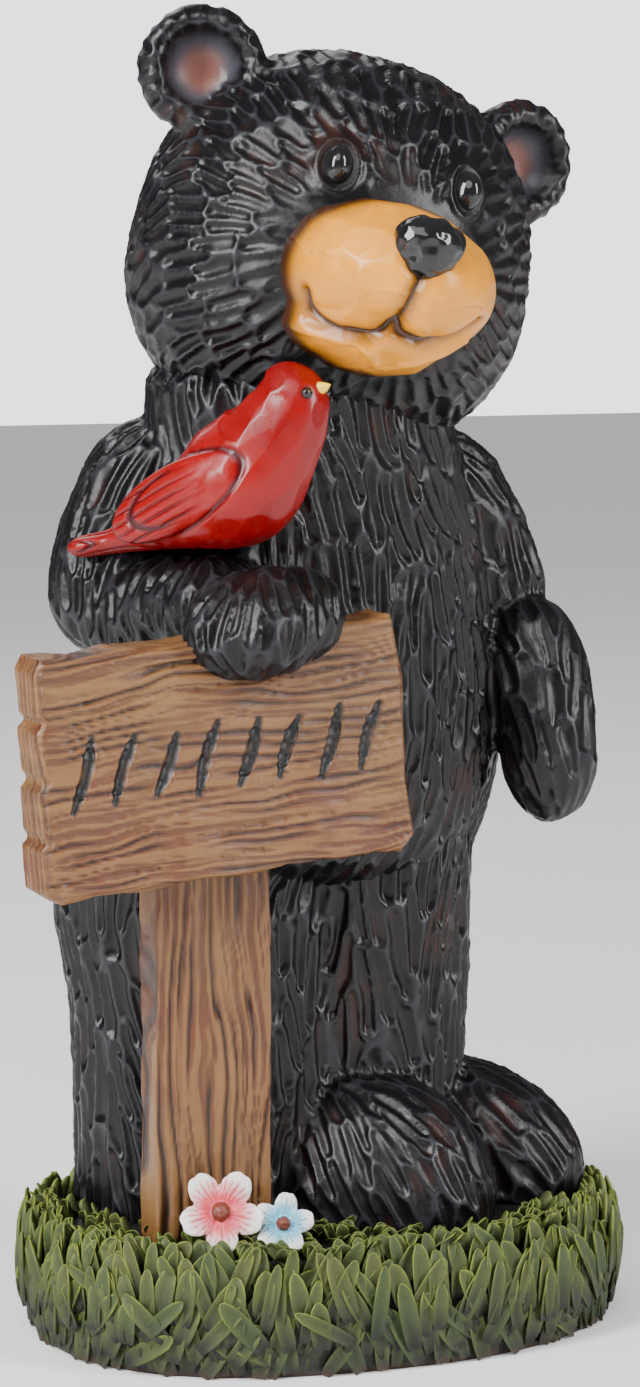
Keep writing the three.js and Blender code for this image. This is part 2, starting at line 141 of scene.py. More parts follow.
def curve(knots, t):
    """Points at t from 0 to 1 of a smooth curve that passes through its knots."""
    knots = np.asarray(knots, float)
    padded = np.vstack([2 * knots[0] - knots[1], knots, 2 * knots[-1] - knots[-2]])
    place = np.clip(np.asarray(t, float), 0, 1) * (len(knots) - 1)
    span = np.minimum(place.astype(int), len(knots) - 2)
    w = (place - span)[:, None]
    a, b, c, d = (padded[span + k] for k in range(4))
    return 0.5 * (2 * b + (c - a) * w + (2 * a - 5 * b + 4 * c - d) * w**2 + (3 * b - a - 3 * c + d) * w**3)


def oval(angles, fullness):
    cos, sin = np.cos(angles), np.sin(angles)
    return np.sign(cos) * np.abs(cos) ** (2 / fullness), np.sign(sin) * np.abs(sin) ** (2 / fullness)


def hash_noise(cells, seed):
    n = cells[..., 0] * 73856093 ^ cells[..., 1] * 19349663 ^ cells[..., 2] * 83492791 ^ seed * 2654435
    n = ((n ^ (n >> 13)) * 1274126177) & 0xFFFFFFFF
    return ((n ^ (n >> 16)) & 0xFFFF) / 65535.0


def noise(points, seed):
    """Smooth noise from -1 to 1, whose lattice is one unit wide."""
    cells = np.floor(points).astype(np.int64)
    f = points - cells
    f = f * f * (3 - 2 * f)
    total = np.zeros(points.shape[:-1])
    for corner in np.ndindex(2, 2, 2):
        weight = np.prod(np.where(np.array(corner) == 1, f, 1 - f), axis=-1)
        total += weight * hash_noise(cells + np.array(corner), seed)
    return 2 * total - 1


def smooth_step(low, high, values):
    t = np.clip((values - low) / (high - low), 0, 1)
    return t * t * (3 - 2 * t)


def bell(values, width):
    return np.exp(-((values / width) ** 2))


def creases(values):
    """From 0 midway between two whole numbers to 1 at each of them."""
    return np.abs((values % 1) - 0.5) * 2


# Rounded forms


def run_of(rings):
    """The direction along a form, at each of its points."""
    return unit(np.gradient(rings, axis=0)).reshape(-1, 3)


class Forms:
    """Closed rounded shells, gathered before they become one skin. tags holds numbers for each point."""

    def __init__(self):
        self.points, self.flows, self.tags, self.faces, self.count = [], [], [], [], 0

    def add(self, rings, start, end, tag=(0,), flow=None):
        rows, columns = rings.shape[:2]
        base = self.count
        ring = np.arange(columns)
        nxt = (ring + 1) % columns
        grid = base + 1 + np.arange(rows)[:, None] * columns
        quads = np.stack([grid[:-1] + ring, grid[:-1] + nxt, grid[1:] + nxt, grid[1:] + ring], -1)
        self.faces += quads.reshape(-1, 4).tolist()
        last = base + 1 + rows * columns
        self.faces += [[base, grid[0, 0] + j, grid[0, 0] + i] for i, j in zip(ring, nxt)]
        self.faces += [[last, grid[-1, 0] + i, grid[-1, 0] + j] for i, j in zip(ring, nxt)]
        flow = run_of(rings) if flow is None else flow
        self.points.append(np.vstack([[start], rings.reshape(-1, 3), [end]]))
        self.flows.append(np.vstack([flow[:1], flow, flow[-1:]]))
        tag = np.asarray(tag, float)
        self.tags.append(tag if tag.ndim == 2 else np.tile(tag, (rows * columns + 2, 1)))
        self.count = last + 1

    def made(self, name):
        """One object of all the shells."""
        return new_object(name, np.vstack(self.points), self.faces)

    def carry(self, points):
        """The flows and tags that some points take over from the nearest points of the shells."""
        which = nearest(np.vstack(self.points), points)
        return np.vstack(self.flows)[which], np.vstack(self.tags)[which]


def limb(stations, sides, caps, fullness=2.0, spread=0.0, spacing=2.4):
    """Rings of a rounded form along a path of (x, y, z, half width, half depth), and its two ends."""
    stations = np.asarray(stations, float)
    t = np.linspace(0, 1, 500)

    def sizes(t):
        start = np.maximum(0, 1 - t / caps[0])
        end = np.maximum(0, 1 - (1 - t) / caps[1])
        return curve(stations[:, 3:], t) * np.sqrt(np.maximum(0, 1 - start**2 - end**2))[:, None]

    path, size = curve(stations[:, :3], t), sizes(t)
    steps = np.hypot(
        np.linalg.norm(np.diff(path, axis=0), axis=1),
        np.linalg.norm(np.diff(size, axis=0), axis=1) * 0.7,
    )
    reach = np.concatenate([[0], np.cumsum(steps)])
    rows = max(4, int(reach[-1] / spacing))
    t = np.interp(np.linspace(0, reach[-1], rows + 1)[1:-1], reach, t)
    path, size = curve(stations[:, :3], t), sizes(t)
    along = unit(curve(stations[:, :3], t + 0.004) - curve(stations[:, :3], t - 0.004))
    side = (1 - t)[:, None] * sides[0] + t[:, None] * sides[-1]
    side = unit(side - (side * along).sum(1, keepdims=True) * along)
    across = np.cross(along, side)
    columns = max(10, int(math.pi * size.sum(1).max() / spacing))
    u, v = oval(np.linspace(0, 2 * math.pi, columns, endpoint=False), fullness)
    rings = (
        path[:, None]
        + side[:, None] * (size[:, :1] * (u * (1 - spread * v)))[..., None]
        + across[:, None] * (size[:, 1:] * v)[..., None]
    )
    ends = curve(stations[:, :3], np.array([0.0, 1.0]))
    return rings, ends[0], ends[1]


def egg(centre, axis, side, reach, wide, deep, **rest):
    centre, axis = np.asarray(centre, float), np.asarray(axis, float)
    stations = [(*(centre + share * reach * axis), wide, deep) for share in (-1, -0.5, 0, 0.5, 1)]
    return limb(stations, [np.asarray(side, float)], (0.5, 0.5), **rest)


def spun(centre, facing, side, profile, spacing=2.0):
    """A form turned about facing, from a profile of (radius, height) with both ends on the axis."""
    profile = np.asarray(profile, float)
    centre, facing = np.asarray(centre, float), unit(facing)
    side = unit(np.asarray(side) - (np.asarray(side) @ facing) * facing)
    across = np.cross(facing, side)
    length = np.linalg.norm(np.diff(profile, axis=0), axis=1).sum()
    t = np.linspace(0, 1, max(6, int(length / spacing)))[1:-1]
    shape = curve(profile, t)
    columns = max(10, int(2 * math.pi * profile[:, 0].max() / spacing))
    angle = np.linspace(0, 2 * math.pi, columns, endpoint=False)
    out = np.cos(angle)[:, None] * side + np.sin(angle)[:, None] * across
    rings = centre + shape[:, None, :1] * out + shape[:, None, 1:] * facing
    return rings, centre + profile[0, 1] * facing, centre + profile[-1, 1] * facing


# Skins


def placed(name, data):
    """A new object of the scene that shows a mesh, a lamp or a camera."""
    thing = bpy.data.objects.new(name, data)
    bpy.context.scene.collection.objects.link(thing)
    return thing


def new_object(name, points, faces):
    mesh = bpy.data.meshes.new(name)
    mesh.from_pydata((points * MM).tolist(), [], faces)
    mesh.validate()
    mesh.shade_smooth()
    return placed(name, mesh)


def settle(thing):
    """Applies the modifiers of an object to its mesh."""
    graph = bpy.context.evaluated_depsgraph_get()
    mesh = bpy.data.meshes.new_from_object(thing.evaluated_get(graph))
    old = thing.data
    thing.modifiers.clear()
    thing.data = mesh
    bpy.data.meshes.remove(old)
    mesh.name = thing.name
    mesh.shade_smooth()


def skinned(thing, voxel, rounds):
    """Gives an object one even skin round all its shells, and reads it."""
    skin = thing.modifiers.new("Skin", "REMESH")
    skin.mode = "VOXEL"
    skin.voxel_size = voxel * MM
    ease = thing.modifiers.new("Ease", "SMOOTH")
    ease.factor = 0.5
    ease.iterations = rounds
    settle(thing)
    return read_skin(thing)


def slimmed(thing, most):
    """Brings an object down to at most so many triangles."""
    thing.data.calc_loop_triangles()
    count = len(thing.data.loop_triangles)
    if count > most:
        slim = thing.modifiers.new("Slim", "DECIMATE")
        slim.ratio = most / count
        slim.use_collapse_triangulate = True
        settle(thing)


def read_skin(thing):
    """The points in millimetres, normals and edges of an object's mesh."""
    mesh = thing.data
    points = np.empty(len(mesh.vertices) * 3)
    mesh.vertices.foreach_get("co", points)
    normals = np.empty(len(mesh.vertices) * 3)
    mesh.vertex_normals.foreach_get("vector", normals)
    edges = np.empty(len(mesh.edges) * 2, dtype=np.int64)
    mesh.edges.foreach_get("vertices", edges)
    return points.reshape(-1, 3) / MM, normals.reshape(-1, 3), edges.reshape(-1, 2)


def write_skin(thing, points, **values):
    """Moves the points of an object's mesh, and stores named values at them."""
    mesh = thing.data
    mesh.vertices.foreach_set("co", (points * MM).ravel())
    for name, numbers in values.items():
        layer = mesh.attributes.new(name, "FLOAT", "POINT")
        layer.data.foreach_set("value", np.asarray(numbers, float))
    mesh.update()


def eased(values, edges, rounds):
    """Values at points, evened out along the edges."""
    count = len(values)
    a, b = edges[:, 0], edges[:, 1]
    degree = np.bincount(edges.ravel(), minlength=count)[:, None]
    values = values.reshape(count, -1)
    for _ in range(rounds):
        total = [np.bincount(a, v[b], count) + np.bincount(b, v[a], count) for v in values.T]
        values = 0.5 * values + 0.5 * np.stack(total, 1) / degree
    return values


def nearest(source, targets):
    tree = kdtree.KDTree(len(source))
    for i, p in enumerate(source):
        tree.insert(p, i)
    tree.balance()
    return np.array([tree.find(p)[1] for p in targets])


# Tool marks


def gouge_places(points, flow, long, wide, seed):
    """Which points are the middle of a gouge, so that gouges of those sizes lie side by side."""
    order = np.random.default_rng(seed).permutation(len(points))[: int(len(points) * 0.5)]
    cell = float(long.max())
    keys = np.floor(points / cell).astype(int)
    near_cells = [(i, j, k) for i in (-1, 0, 1) for j in (-1, 0, 1) for k in (-1, 0, 1)]
    taken, chosen = {}, []
    for i in order:
        x, y, z = keys[i]
        near = []
        for dx, dy, dz in near_cells:
            near += taken.get((x + dx, y + dy, z + dz), ())
        if near:
            d = points[near] - points[i]
            along = d @ flow[i]
            across = (d * d).sum(1) - along**2
            if ((along / long[i]) ** 2 + across / wide[i] ** 2 < 1).any():
                continue
        taken.setdefault((x, y, z), []).append(i)
        chosen.append(i)
    return np.array(chosen)


def gouges(points, places, flow, normals, long, wide, bend):
    """For each point: how far it lies from the middle line of its gouge (0) to its rim (1), how far along
    the gouge it is, and the number of that gouge. A gouge is a slot with round ends that may bend."""
    middle, way, out = points[places], flow[places], normals[places]
    side = np.cross(out, way)
    far, near, bend = long[places], wide[places], bend[places]
    half = 0.5 * (far - near)
    cell = 14.0
    keys = np.floor(points / cell).astype(np.int64)
    code = keys[:, 0] + keys[:, 1] * 1000 + keys[:, 2] * 1000000
    order = np.argsort(code, kind="stable")
    cuts = np.flatnonzero(np.diff(code[order])) + 1
    rim, along, number = np.ones(len(points)), np.zeros(len(points)), np.zeros(len(points), int)
    for group in np.split(order, cuts):
        low, high = points[group].min(0) - far.max(), points[group].max(0) + far.max()
        some = np.flatnonzero(((middle > low) & (middle < high)).all(1))
        d = points[group][:, None] - middle[some]
        u = (d * way[some]).sum(2)
        v = (d * side[some]).sum(2) - bend[some] * u**2
        w = (d * out[some]).sum(2)
        past = np.maximum(np.abs(u) - half[some], 0)
        distance = np.sqrt(past**2 + v**2 + w**2) / near[some]
        best = np.argsort(distance, axis=1)[:, :2]
        row = np.arange(len(group))
        first, second = distance[row, best[:, 0]], distance[row, best[:, 1]]
        rim[group] = 2 * first / np.maximum(first + second, 1e-6)
        along[group] = u[row, best[:, 0]] / far[some][best[:, 0]] * 2
        number[group] = some[best[:, 0]]
    return rim, along, number


def planed(points, normals, edges, spacing, depth, seed):
    """Points cut back to flat facets about spacing apart, as a knife leaves them."""
    size = np.full(len(points), float(spacing))
    places = gouge_places(points, normals, size, size, seed)
    middle, way = points[places], unit(eased(normals, edges, 6)[places])
    reach, deepest, out_of_reach = 1.6 * spacing, -1.2, 9
    result = points.copy()
    for block in np.array_split(np.arange(len(points)), max(1, len(points) // 4000)):
        d = middle[None] - points[block][:, None]
        height = (d * way[None]).sum(2) - depth
        height[(d * d).sum(2) > reach**2] = out_of_reach
        lowest = height.argmin(1)
        cut = np.minimum(0, height[np.arange(len(block)), lowest])
        result[block] += way[lowest] * np.maximum(cut, deepest)[:, None]
    return result


def near_path(points, path, samples=60):
    """How far each point lies from a smooth path, and how far along the path that is."""
    line = curve(path, np.linspace(0, 1, samples))
    distance = np.full(len(points), 1e9)
    share = np.zeros(len(points))
    for k in range(samples - 1):
        a, step = line[k], line[k + 1] - line[k]
        t = np.clip(((points - a) @ step) / (step @ step), 0, 1)
        d = np.linalg.norm(points - a - t[:, None] * step, axis=1)
        closer = d < distance
        distance[closer] = d[closer]
        share[closer] = ((k + t) / (samples - 1))[closer]
    return distance, share


# Materials


class Paint:
    """The nodes of a material or of a node group, and short ways to add to them."""

    def __init__(self, name=None, tree=None):
        if tree is None:
            self.material = bpy.data.materials.new(name)
            self.material.use_nodes = True
            tree = self.material.node_tree
            self.shader = tree.nodes["Principled BSDF"]
        self.tree = tree

    def node(self, kind, inputs=(), **settings):
        node = self.tree.nodes.new(kind)
        for key, value in settings.items():
            setattr(node, key, value)
        for key, value in dict(inputs).items():
            self.feed(node.inputs[key], value)
        return node

    def feed(self, socket, value):
        if isinstance(value, bpy.types.NodeSocket):
            self.tree.links.new(value, socket)
        elif socket.type == "RGBA":
            socket.default_value = (*value, 1)
        else:
            socket.default_value = value

    def math(self, operation, *values):
        node = self.node("ShaderNodeMath", operation=operation)
        for socket, value in zip(node.inputs, values):
            self.feed(socket, value)
        return node.outputs[0]

    def mix(self, factor, a, b):
        node = self.node("ShaderNodeMix", data_type="RGBA")
        self.feed(node.inputs["Factor"], factor)
        self.feed(node.inputs[6], a)
        self.feed(node.inputs[7], b)
        return node.outputs[2]

    def layered(self, colour, *layers):
        """A colour with others laid over it in turn, each by its share."""
        for share, other in layers:
            colour = self.mix(share, colour, other)
        return colour

    def ramp(self, value, low, high, to_low=0.0, to_high=1.0):
        node = self.node(
            "ShaderNodeMapRange",
            {"Value": value, "From Min": low, "From Max": high, "To Min": to_low, "To Max": to_high},
            interpolation_type="SMOOTHSTEP",
        )
        return node.outputs[0]

    def place(self):
        return self.node("ShaderNodeTexCoord").outputs["Object"]

    def stored(self, name):
        return self.node("ShaderNodeAttribute", attribute_name=name).outputs["Fac"]

    def speckle(self, scale, detail=3.0, rough=0.55, stretch=None, w=0.0):
        """Noise from 0 to 1 on the object's own coordinates, in metres."""
        where = self.place()
        if stretch:
            where = self.node("ShaderNodeMapping", {"Vector": where, "Scale": stretch}).outputs[0]
        node = self.node(
            "ShaderNodeTexNoise",
            {"Vector": where, "Scale": scale, "Detail": detail, "Roughness": rough, "W": w},
            noise_dimensions="4D",
        )
        return node.outputs["Fac"]

    def group(self, tree, **inputs):
        node = self.tree.nodes.new("ShaderNodeGroup")
        node.node_tree = tree
        for key, value in inputs.items():
            self.feed(node.inputs[key.replace("_", " ")], value)
        return node

    # Paints by the relief: darker in the hollows, partly wash and partly painted shade, and lighter on the
    # ridges as painted highlights
    def wash_shade_highlight(self, **inputs):
        return self.group(wash_shade_highlight_group(), **inputs).outputs["Color"]

    def brushed(self, things, colour, scale, gloss, patches, bump, grain=None, **sockets):
        """Finishes things with a brushed coat. gloss is from smooth to rough, bump is depth and strength."""
        low, high = gloss
        coat = self.group(brush_group(), Scale=scale, Gloss_Low=low, Gloss_High=high, Gloss_Scale=patches)
        height = coat.outputs["Height"]
        if grain is not None:
            height = self.math("ADD", grain, height)
        relief = self.node("ShaderNodeBump", {"Height": height, "Distance": bump[0], "Strength": bump[1]})
        rough = coat.outputs["Roughness"]
        self.finish(things, Base_Color=colour, Roughness=rough, Normal=relief.outputs[0], **sockets)

    def finish(self, things, **sockets):
        for key, value in sockets.items():
            self.feed(self.shader.inputs[key.replace("_", " ")], value)
        for thing in things:
            thing.data.materials.clear()
            thing.data.materials.append(self.material)


def new_group(name, inputs, outputs):
    """An empty node group with named sockets, and its input and output nodes."""
    tree = bpy.data.node_groups.new(name, "ShaderNodeTree")
    for socket, kind, value in inputs:
        made = tree.interface.new_socket(name=socket, in_out="INPUT", socket_type=kind)
        made.default_value = value
    for socket, kind in outputs:
        tree.interface.new_socket(name=socket, in_out="OUTPUT", socket_type=kind)
    start = tree.nodes.new("NodeGroupInput")
    end = tree.nodes.new("NodeGroupOutput")
    return tree, Paint(tree=tree), start.outputs, end.inputs


COLOUR = "NodeSocketColor"
NUMBER = "NodeSocketFloat"


def wash_shade_highlight_group():
    """Darker paint in the hollows, a wash on the fur and wood and painted shade on the grass and bird, and
    lighter paint on the ridges as a painted highlight.
    """
    if "Wash and dry brush" in bpy.data.node_groups:
        return bpy.data.node_groups["Wash and dry brush"]
    tree, paint, given, out = new_group(
        "Wash and dry brush",
        [
            ("Paint", COLOUR, (0.5, 0.5, 0.5, 1)),
            ("Wash", COLOUR, (0.1, 0.1, 0.1, 1)),
            ("Ridge", COLOUR, (0.8, 0.8, 0.8, 1)),
            ("Relief", NUMBER, 0.5),
            ("Wash Reach", NUMBER, 0.5),
            ("Ridge Start", NUMBER, 0.7),
            ("Ridge Amount", NUMBER, 0.5),
            ("Blotch Scale", NUMBER, 60.0),
        ],
        [("Color", COLOUR)],
    )
    blotch = paint.speckle(given["Blotch Scale"], 4.0, 0.6)
    shifted = paint.math("ADD", given["Relief"], paint.math("MULTIPLY_ADD", blotch, 0.5, -0.25))
    # The hollows take the Wash colour: a real wash on the fur and the wood, painted shade on the grass and
    # the bird
    hollow = paint.ramp(shifted, given["Wash Reach"], 0.0)
    # The ridges take the Ridge colour as a painted highlight
    ridge = paint.math("MULTIPLY", paint.ramp(shifted, given["Ridge Start"], 1.0), given["Ridge Amount"])
    colour = paint.layered(given["Paint"], (hollow, given["Wash"]), (ridge, given["Ridge"]))
    paint.feed(out["Color"], colour)
    return tree


def brush_group():
    """The fine streaks of brushed paint, as a height, and the uneven gloss that goes with them."""
    if "Brushed coat" in bpy.data.node_groups:
        return bpy.data.node_groups["Brushed coat"]
    tree, paint, given, out = new_group(
        "Brushed coat",
        [
            ("Scale", NUMBER, 400.0),
            ("Gloss Low", NUMBER, 0.2),
            ("Gloss High", NUMBER, 0.5),
            ("Gloss Scale", NUMBER, 90.0),
        ],
        [("Height", NUMBER), ("Roughness", NUMBER)],
    )
    fine = paint.speckle(given["Scale"], 5.0, 0.6)
    worn = paint.speckle(given["Gloss Scale"], 3.0, 0.6, w=4.0)
    paint.feed(out["Height"], fine)
    paint.feed(out["Roughness"], paint.ramp(worn, 0.3, 0.75, given["Gloss Low"], given["Gloss High"]))
    return tree


# Settings


def colour_setting(name, description, default):
    return FloatVectorProperty(
        name=name, description=description, default=default, subtype="COLOR", min=0, max=1
    )


def size_setting(name, description, default):
    return FloatProperty(name=name, description=description, default=default * MM, unit="LENGTH", min=0)


def angle_setting(name, description, default):
    return FloatProperty(
        name=name, description=description, default=math.radians(default), subtype="ANGLE"
    )


class BearSettings(bpy.types.PropertyGroup):
    """Sizes of the gouges and colours of the bear."""

    skin: size_setting("Skin", "Width of a cell of the skin that is gouged", 1.0)
    depth: size_setting("Gouge depth", "How deep the gouges of the fur are", 1.9)
    most: IntProperty(
        name="Most triangles", description="Triangles left in each piece of the fur", default=190000, min=1000
    )
    black: colour_setting("Black", "Paint of the fur", (0.0035, 0.0035, 0.0045))
    rust: colour_setting("Rust", "Brown wash that shows in the hollows here and there", (0.03, 0.01, 0.007))
    # Grey on the ridges of the fur is a painted highlight, and made lighter it is the ears' own grey cups
    ridge_highlight_and_ear_grey: colour_setting("Grey", "Paint that catches the ridges", (0.03, 0.03, 0.037))
    pink: colour_setting("Pink", "Airbrushed inside of the ears", (0.2, 0.07, 0.05))
    tan: colour_setting("Tan", "Paint of the muzzle", (0.74, 0.275, 0.004))
    # Brown is the airbrushed edge and the lines of the mouth, and painted shade beside the mouth's creases
    brown: colour_setting("Brown", "Airbrushed edge and mouth of the muzzle", (0.04, 0.011, 0.003))
    gloss: colour_setting("Gloss", "Gloss paint of the nose and eyes", (0.006, 0.006, 0.007))


class SignSettings(bpy.types.PropertyGroup):
    """Grain and colours of the sign."""

    skin: size_setting("Skin", "Width of a cell of the skin that is grained", 0.75)
    grain: size_setting("Grain depth", "How deep the grain is cut", 1.1)
    wood: colour_setting("Wood", "Paint of the wood", (0.1, 0.037, 0.012))
    dark: colour_setting("Dark wood", "Wash in the grain", (0.022, 0.007, 0.003))
    # Light wood is the wood's paler streaks, and on the ridges of the grain a painted highlight
    light: colour_setting("Light wood", "Paint that catches the ridges", (0.26, 0.125, 0.038))
    ink: colour_setting("Ink", "Paint in the cut strokes", (0.006, 0.005, 0.006))


class GrassSettings(bpy.types.PropertyGroup):
    """Sizes and colours of the mound of grass."""

    blade: size_setting("Blade", "Length of a blade", 19)
    width: size_setting("Blade width", "Width of a blade", 6.1)
    green: colour_setting("Green", "Paint of the blades", (0.042, 0.066, 0.014))
    # Tip is the blades' yellow-green on their tips and raised edges, partly paint and partly painted
    # highlight
    tip: colour_setting("Tip", "Yellow-green of the blades' edges", (0.24, 0.29, 0.03))
    # Painted shade at the roots of the blades and on the mound between them
    blade_gap_shade: colour_setting("Gap_shade", "Dark between the blades", (0.006, 0.008, 0.004))
    rim: colour_setting("Rim", "Brown round the foot of the mound", (0.07, 0.036, 0.022))


class BirdSettings(bpy.types.PropertyGroup):
    """Colours of the bird."""

    skin: size_setting("Skin", "Width of a cell of the bird's skin", 0.6)
    red: colour_setting("Red", "Paint of the bird", (0.28, 0.0005, 0.001))
    # Maroon is a deeper tone here and there, and painted shade in the grooves of the feathers, the tail and
    # round the wings
    maroon_and_groove_shade: colour_setting("Maroon", "Wash in the feathers", (0.05, 0.001, 0.003))
    yellow: colour_setting("Yellow", "Paint of the beak", (0.85, 0.48, 0.02))
    gloss: colour_setting("Gloss", "Gloss paint of the eyes", (0.01, 0.006, 0.006))


class FlowerSettings(bpy.types.PropertyGroup):
    """Colours of the flowers."""

    white: colour_setting("White", "Tips of the petals", (0.86, 0.82, 0.8))
    pink: colour_setting("Pink", "Middle of the pink flower", (0.7, 0.07, 0.1))
    blue: colour_setting("Blue", "Middle of the blue flower", (0.15, 0.52, 0.7))
    button: colour_setting("Button", "Paint of the buttons", (0.17, 0.04, 0.022))


class StageSettings(bpy.types.PropertyGroup):
    """The camera and the lights."""

    azimuth: angle_setting("Azimuth", "How far round the camera stands", 24)
    elevation: angle_setting("Elevation", "How high the camera looks from", 7)
    distance: size_setting("Distance", "From the camera to the statue", 1200)
    floor: colour_setting("Floor", "Colour of the floor", (0.9, 0.9, 0.9))


# The bear


DOWN = np.array((0, 0, -1.0))

# Forms of the bear as (x, y, z, half width, half depth) along their length
TORSO = [
    (-8, 25, 141, 61, 48),
    (-4, 24, 166, 75, 56),
    (3, 21, 192, 79, 58),
    (6, 17, 236, 72, 54),
    (3, 13, 282, 58, 48),
    (0, 12, 302, 54, 47),
    (0, 10, 332, 54, 46),
]
RIGHT_LEG = [
    (-29, 24, 24, 45, 48),
    (-29, 24, 70, 45, 48),
    (-30, 24, 110, 46, 48),
    (-32, 25, 150, 49, 49),
    (-24, 22, 190, 46, 46),
]
LEFT_LEG = [
    (21, 27, 24, 42, 47),
    (21, 27, 70, 42, 47),
    (22, 27, 110, 44, 48),
    (22, 26, 150, 44, 48),
    (24, 26, 190, 45, 48),
]
RIGHT_UPPER_ARM = [
    (-34, 22, 303, 26, 28), (-48, 24, 273, 26, 28), (-58, 22, 248, 26, 27), (-58, 14, 226, 23, 24)
]
RIGHT_FOREARM = [
    (-66, 28, 234, 22, 22), (-56, 2, 241, 20, 20), (-46, -24, 245, 20, 18), (-40, -48, 243, 22, 17)
]
LEFT_UPPER_ARM = [(38, 18, 298, 19, 21), (57, 16, 273, 21, 24), (69, 12, 246, 20, 23), (71, 8, 222, 18, 22)]
LEFT_FOREARM = [
    (74.5, 0, 243, 13, 13), (78.5, -11, 220, 18, 17), (79.5, -18, 192, 18, 17), (80, -20, 165.5, 17, 16)
]
# Profile of an ear as (radius, height), from the middle of its back to the middle of its cup
EAR_PROFILE = [
    (0, -11), (9, -10.4), (17, -6.5), (21.5, 0), (21, 5.5), (17.5, 9.2), (13.5, 8.4), (11, 4), (7.5, 0.5),
    (4, -1), (0, -1.4),
]


def add_fur(forms, shape, long, wide, deep, way=None):
    """Adds a form whose gouges have a length, width and depth, and run along the form or along a way."""
    rings = shape[0]
    if way is None:
        flow = run_of(rings)
        flow[flow[:, 2] > 0.5] *= -1
    else:
        flow = np.tile(unit(way), (rings.shape[0] * rings.shape[1], 1))
    forms.add(*shape, (long, wide, deep, 0), flow)


def trunk_forms():
    forms = Forms()
    hip, chest, arm = left_at(HIP_TURN), left_at(CHEST_TURN), left_at(ARM_TURN)
    add_fur(forms, limb(TORSO, [hip, chest], (0.16, 0.1)), 30, 6.2, 1.25)
    add_fur(forms, limb(RIGHT_UPPER_ARM, [arm], (0.3, 0.3)), 28, 6, 1.1)
    add_fur(forms, limb(RIGHT_FOREARM, [arm], (0.25, 0.3)), 24, 5.6, 0.95, DOWN + 0.25 * front_at(ARM_TURN))
    add_fur(forms, limb(LEFT_UPPER_ARM, [arm], (0.3, 0.3)), 28, 6, 1.1)
    add_fur(forms, limb(LEFT_FOREARM, [arm], (0.25, 0.3)), 24, 6.4, 0.7)
    paw_axis, paw_side = unit(front_at(HIP_TURN) + 0.45 * DOWN), unit(hip - 0.3 * DOWN)
    add_fur(forms, egg((-41, -51, 242), paw_axis, paw_side, 21, 27, 17), 24, 6, 1, DOWN - 0.3 * hip)
    add_fur(forms, egg((-29, -47, 243.5), paw_axis, paw_side, 18, 20, 16), 24, 6, 1, DOWN - 0.3 * hip)
    return forms


def leg_forms():
    forms = Forms()
    hip, feet = left_at(HIP_TURN), left_at(FEET_TURN)
    for leg in (RIGHT_LEG, LEFT_LEG):
        add_fur(forms, limb(leg, [hip], (0.08, 0.2)), 32, 6.2, 1.25)
    way = DOWN + 0.8 * front_at(FEET_TURN)
    for x, y, high in ((12, -6, 42), (56, 14, 37)):
        add_fur(forms, egg((x, y, GROUND + 7), front_at(FEET_TURN), feet, 54, 34, high), 27, 6.4, 0.9, way)
    return forms


def head_forms():
    forms = Forms()
    rings, start, end = egg(
        HEAD_CENTRE, HEAD_FRONT, HEAD_LEFT, HEAD_DEEP, HEAD_WIDE, HEAD_HIGH, fullness=2.3, spread=0.08
    )
    _, high, ahead = from_head(rings.reshape(-1, 3))
    # Beside the face the gouges droop as they run back
    droop = smooth_step(-35, 15, -ahead) * (1 - smooth_step(15, 48, high))
    forms.add(rings, start, end, (19, 6.2, 0.95, 0), unit(1.3 * droop[:, None] * DOWN - run_of(rings)))
    for left, up in EARS:
        facing = HEAD_FRONT + 0.25 * np.sign(left) * HEAD_LEFT
        rings, start, end = spun(on_head(left, up, 4), facing, HEAD_LEFT, EAR_PROFILE)
        radius = np.linalg.norm(rings - rings.mean(1, keepdims=True), axis=2).ravel()
        inner = np.repeat(smooth_step(0.6, 0.7, np.linspace(0, 1, len(rings))), rings.shape[1])
        cup = np.concatenate([[0], inner * np.clip(1.25 - radius / 12, 0, 1), [1]])
        inner = np.concatenate([[0], inner, [1]])
        whole = np.ones(len(cup))
        forms.add(rings, start, end, np.stack([17 * whole, 6.6 * whole, 0.55 * (1 - inner), cup], 1))
    return forms


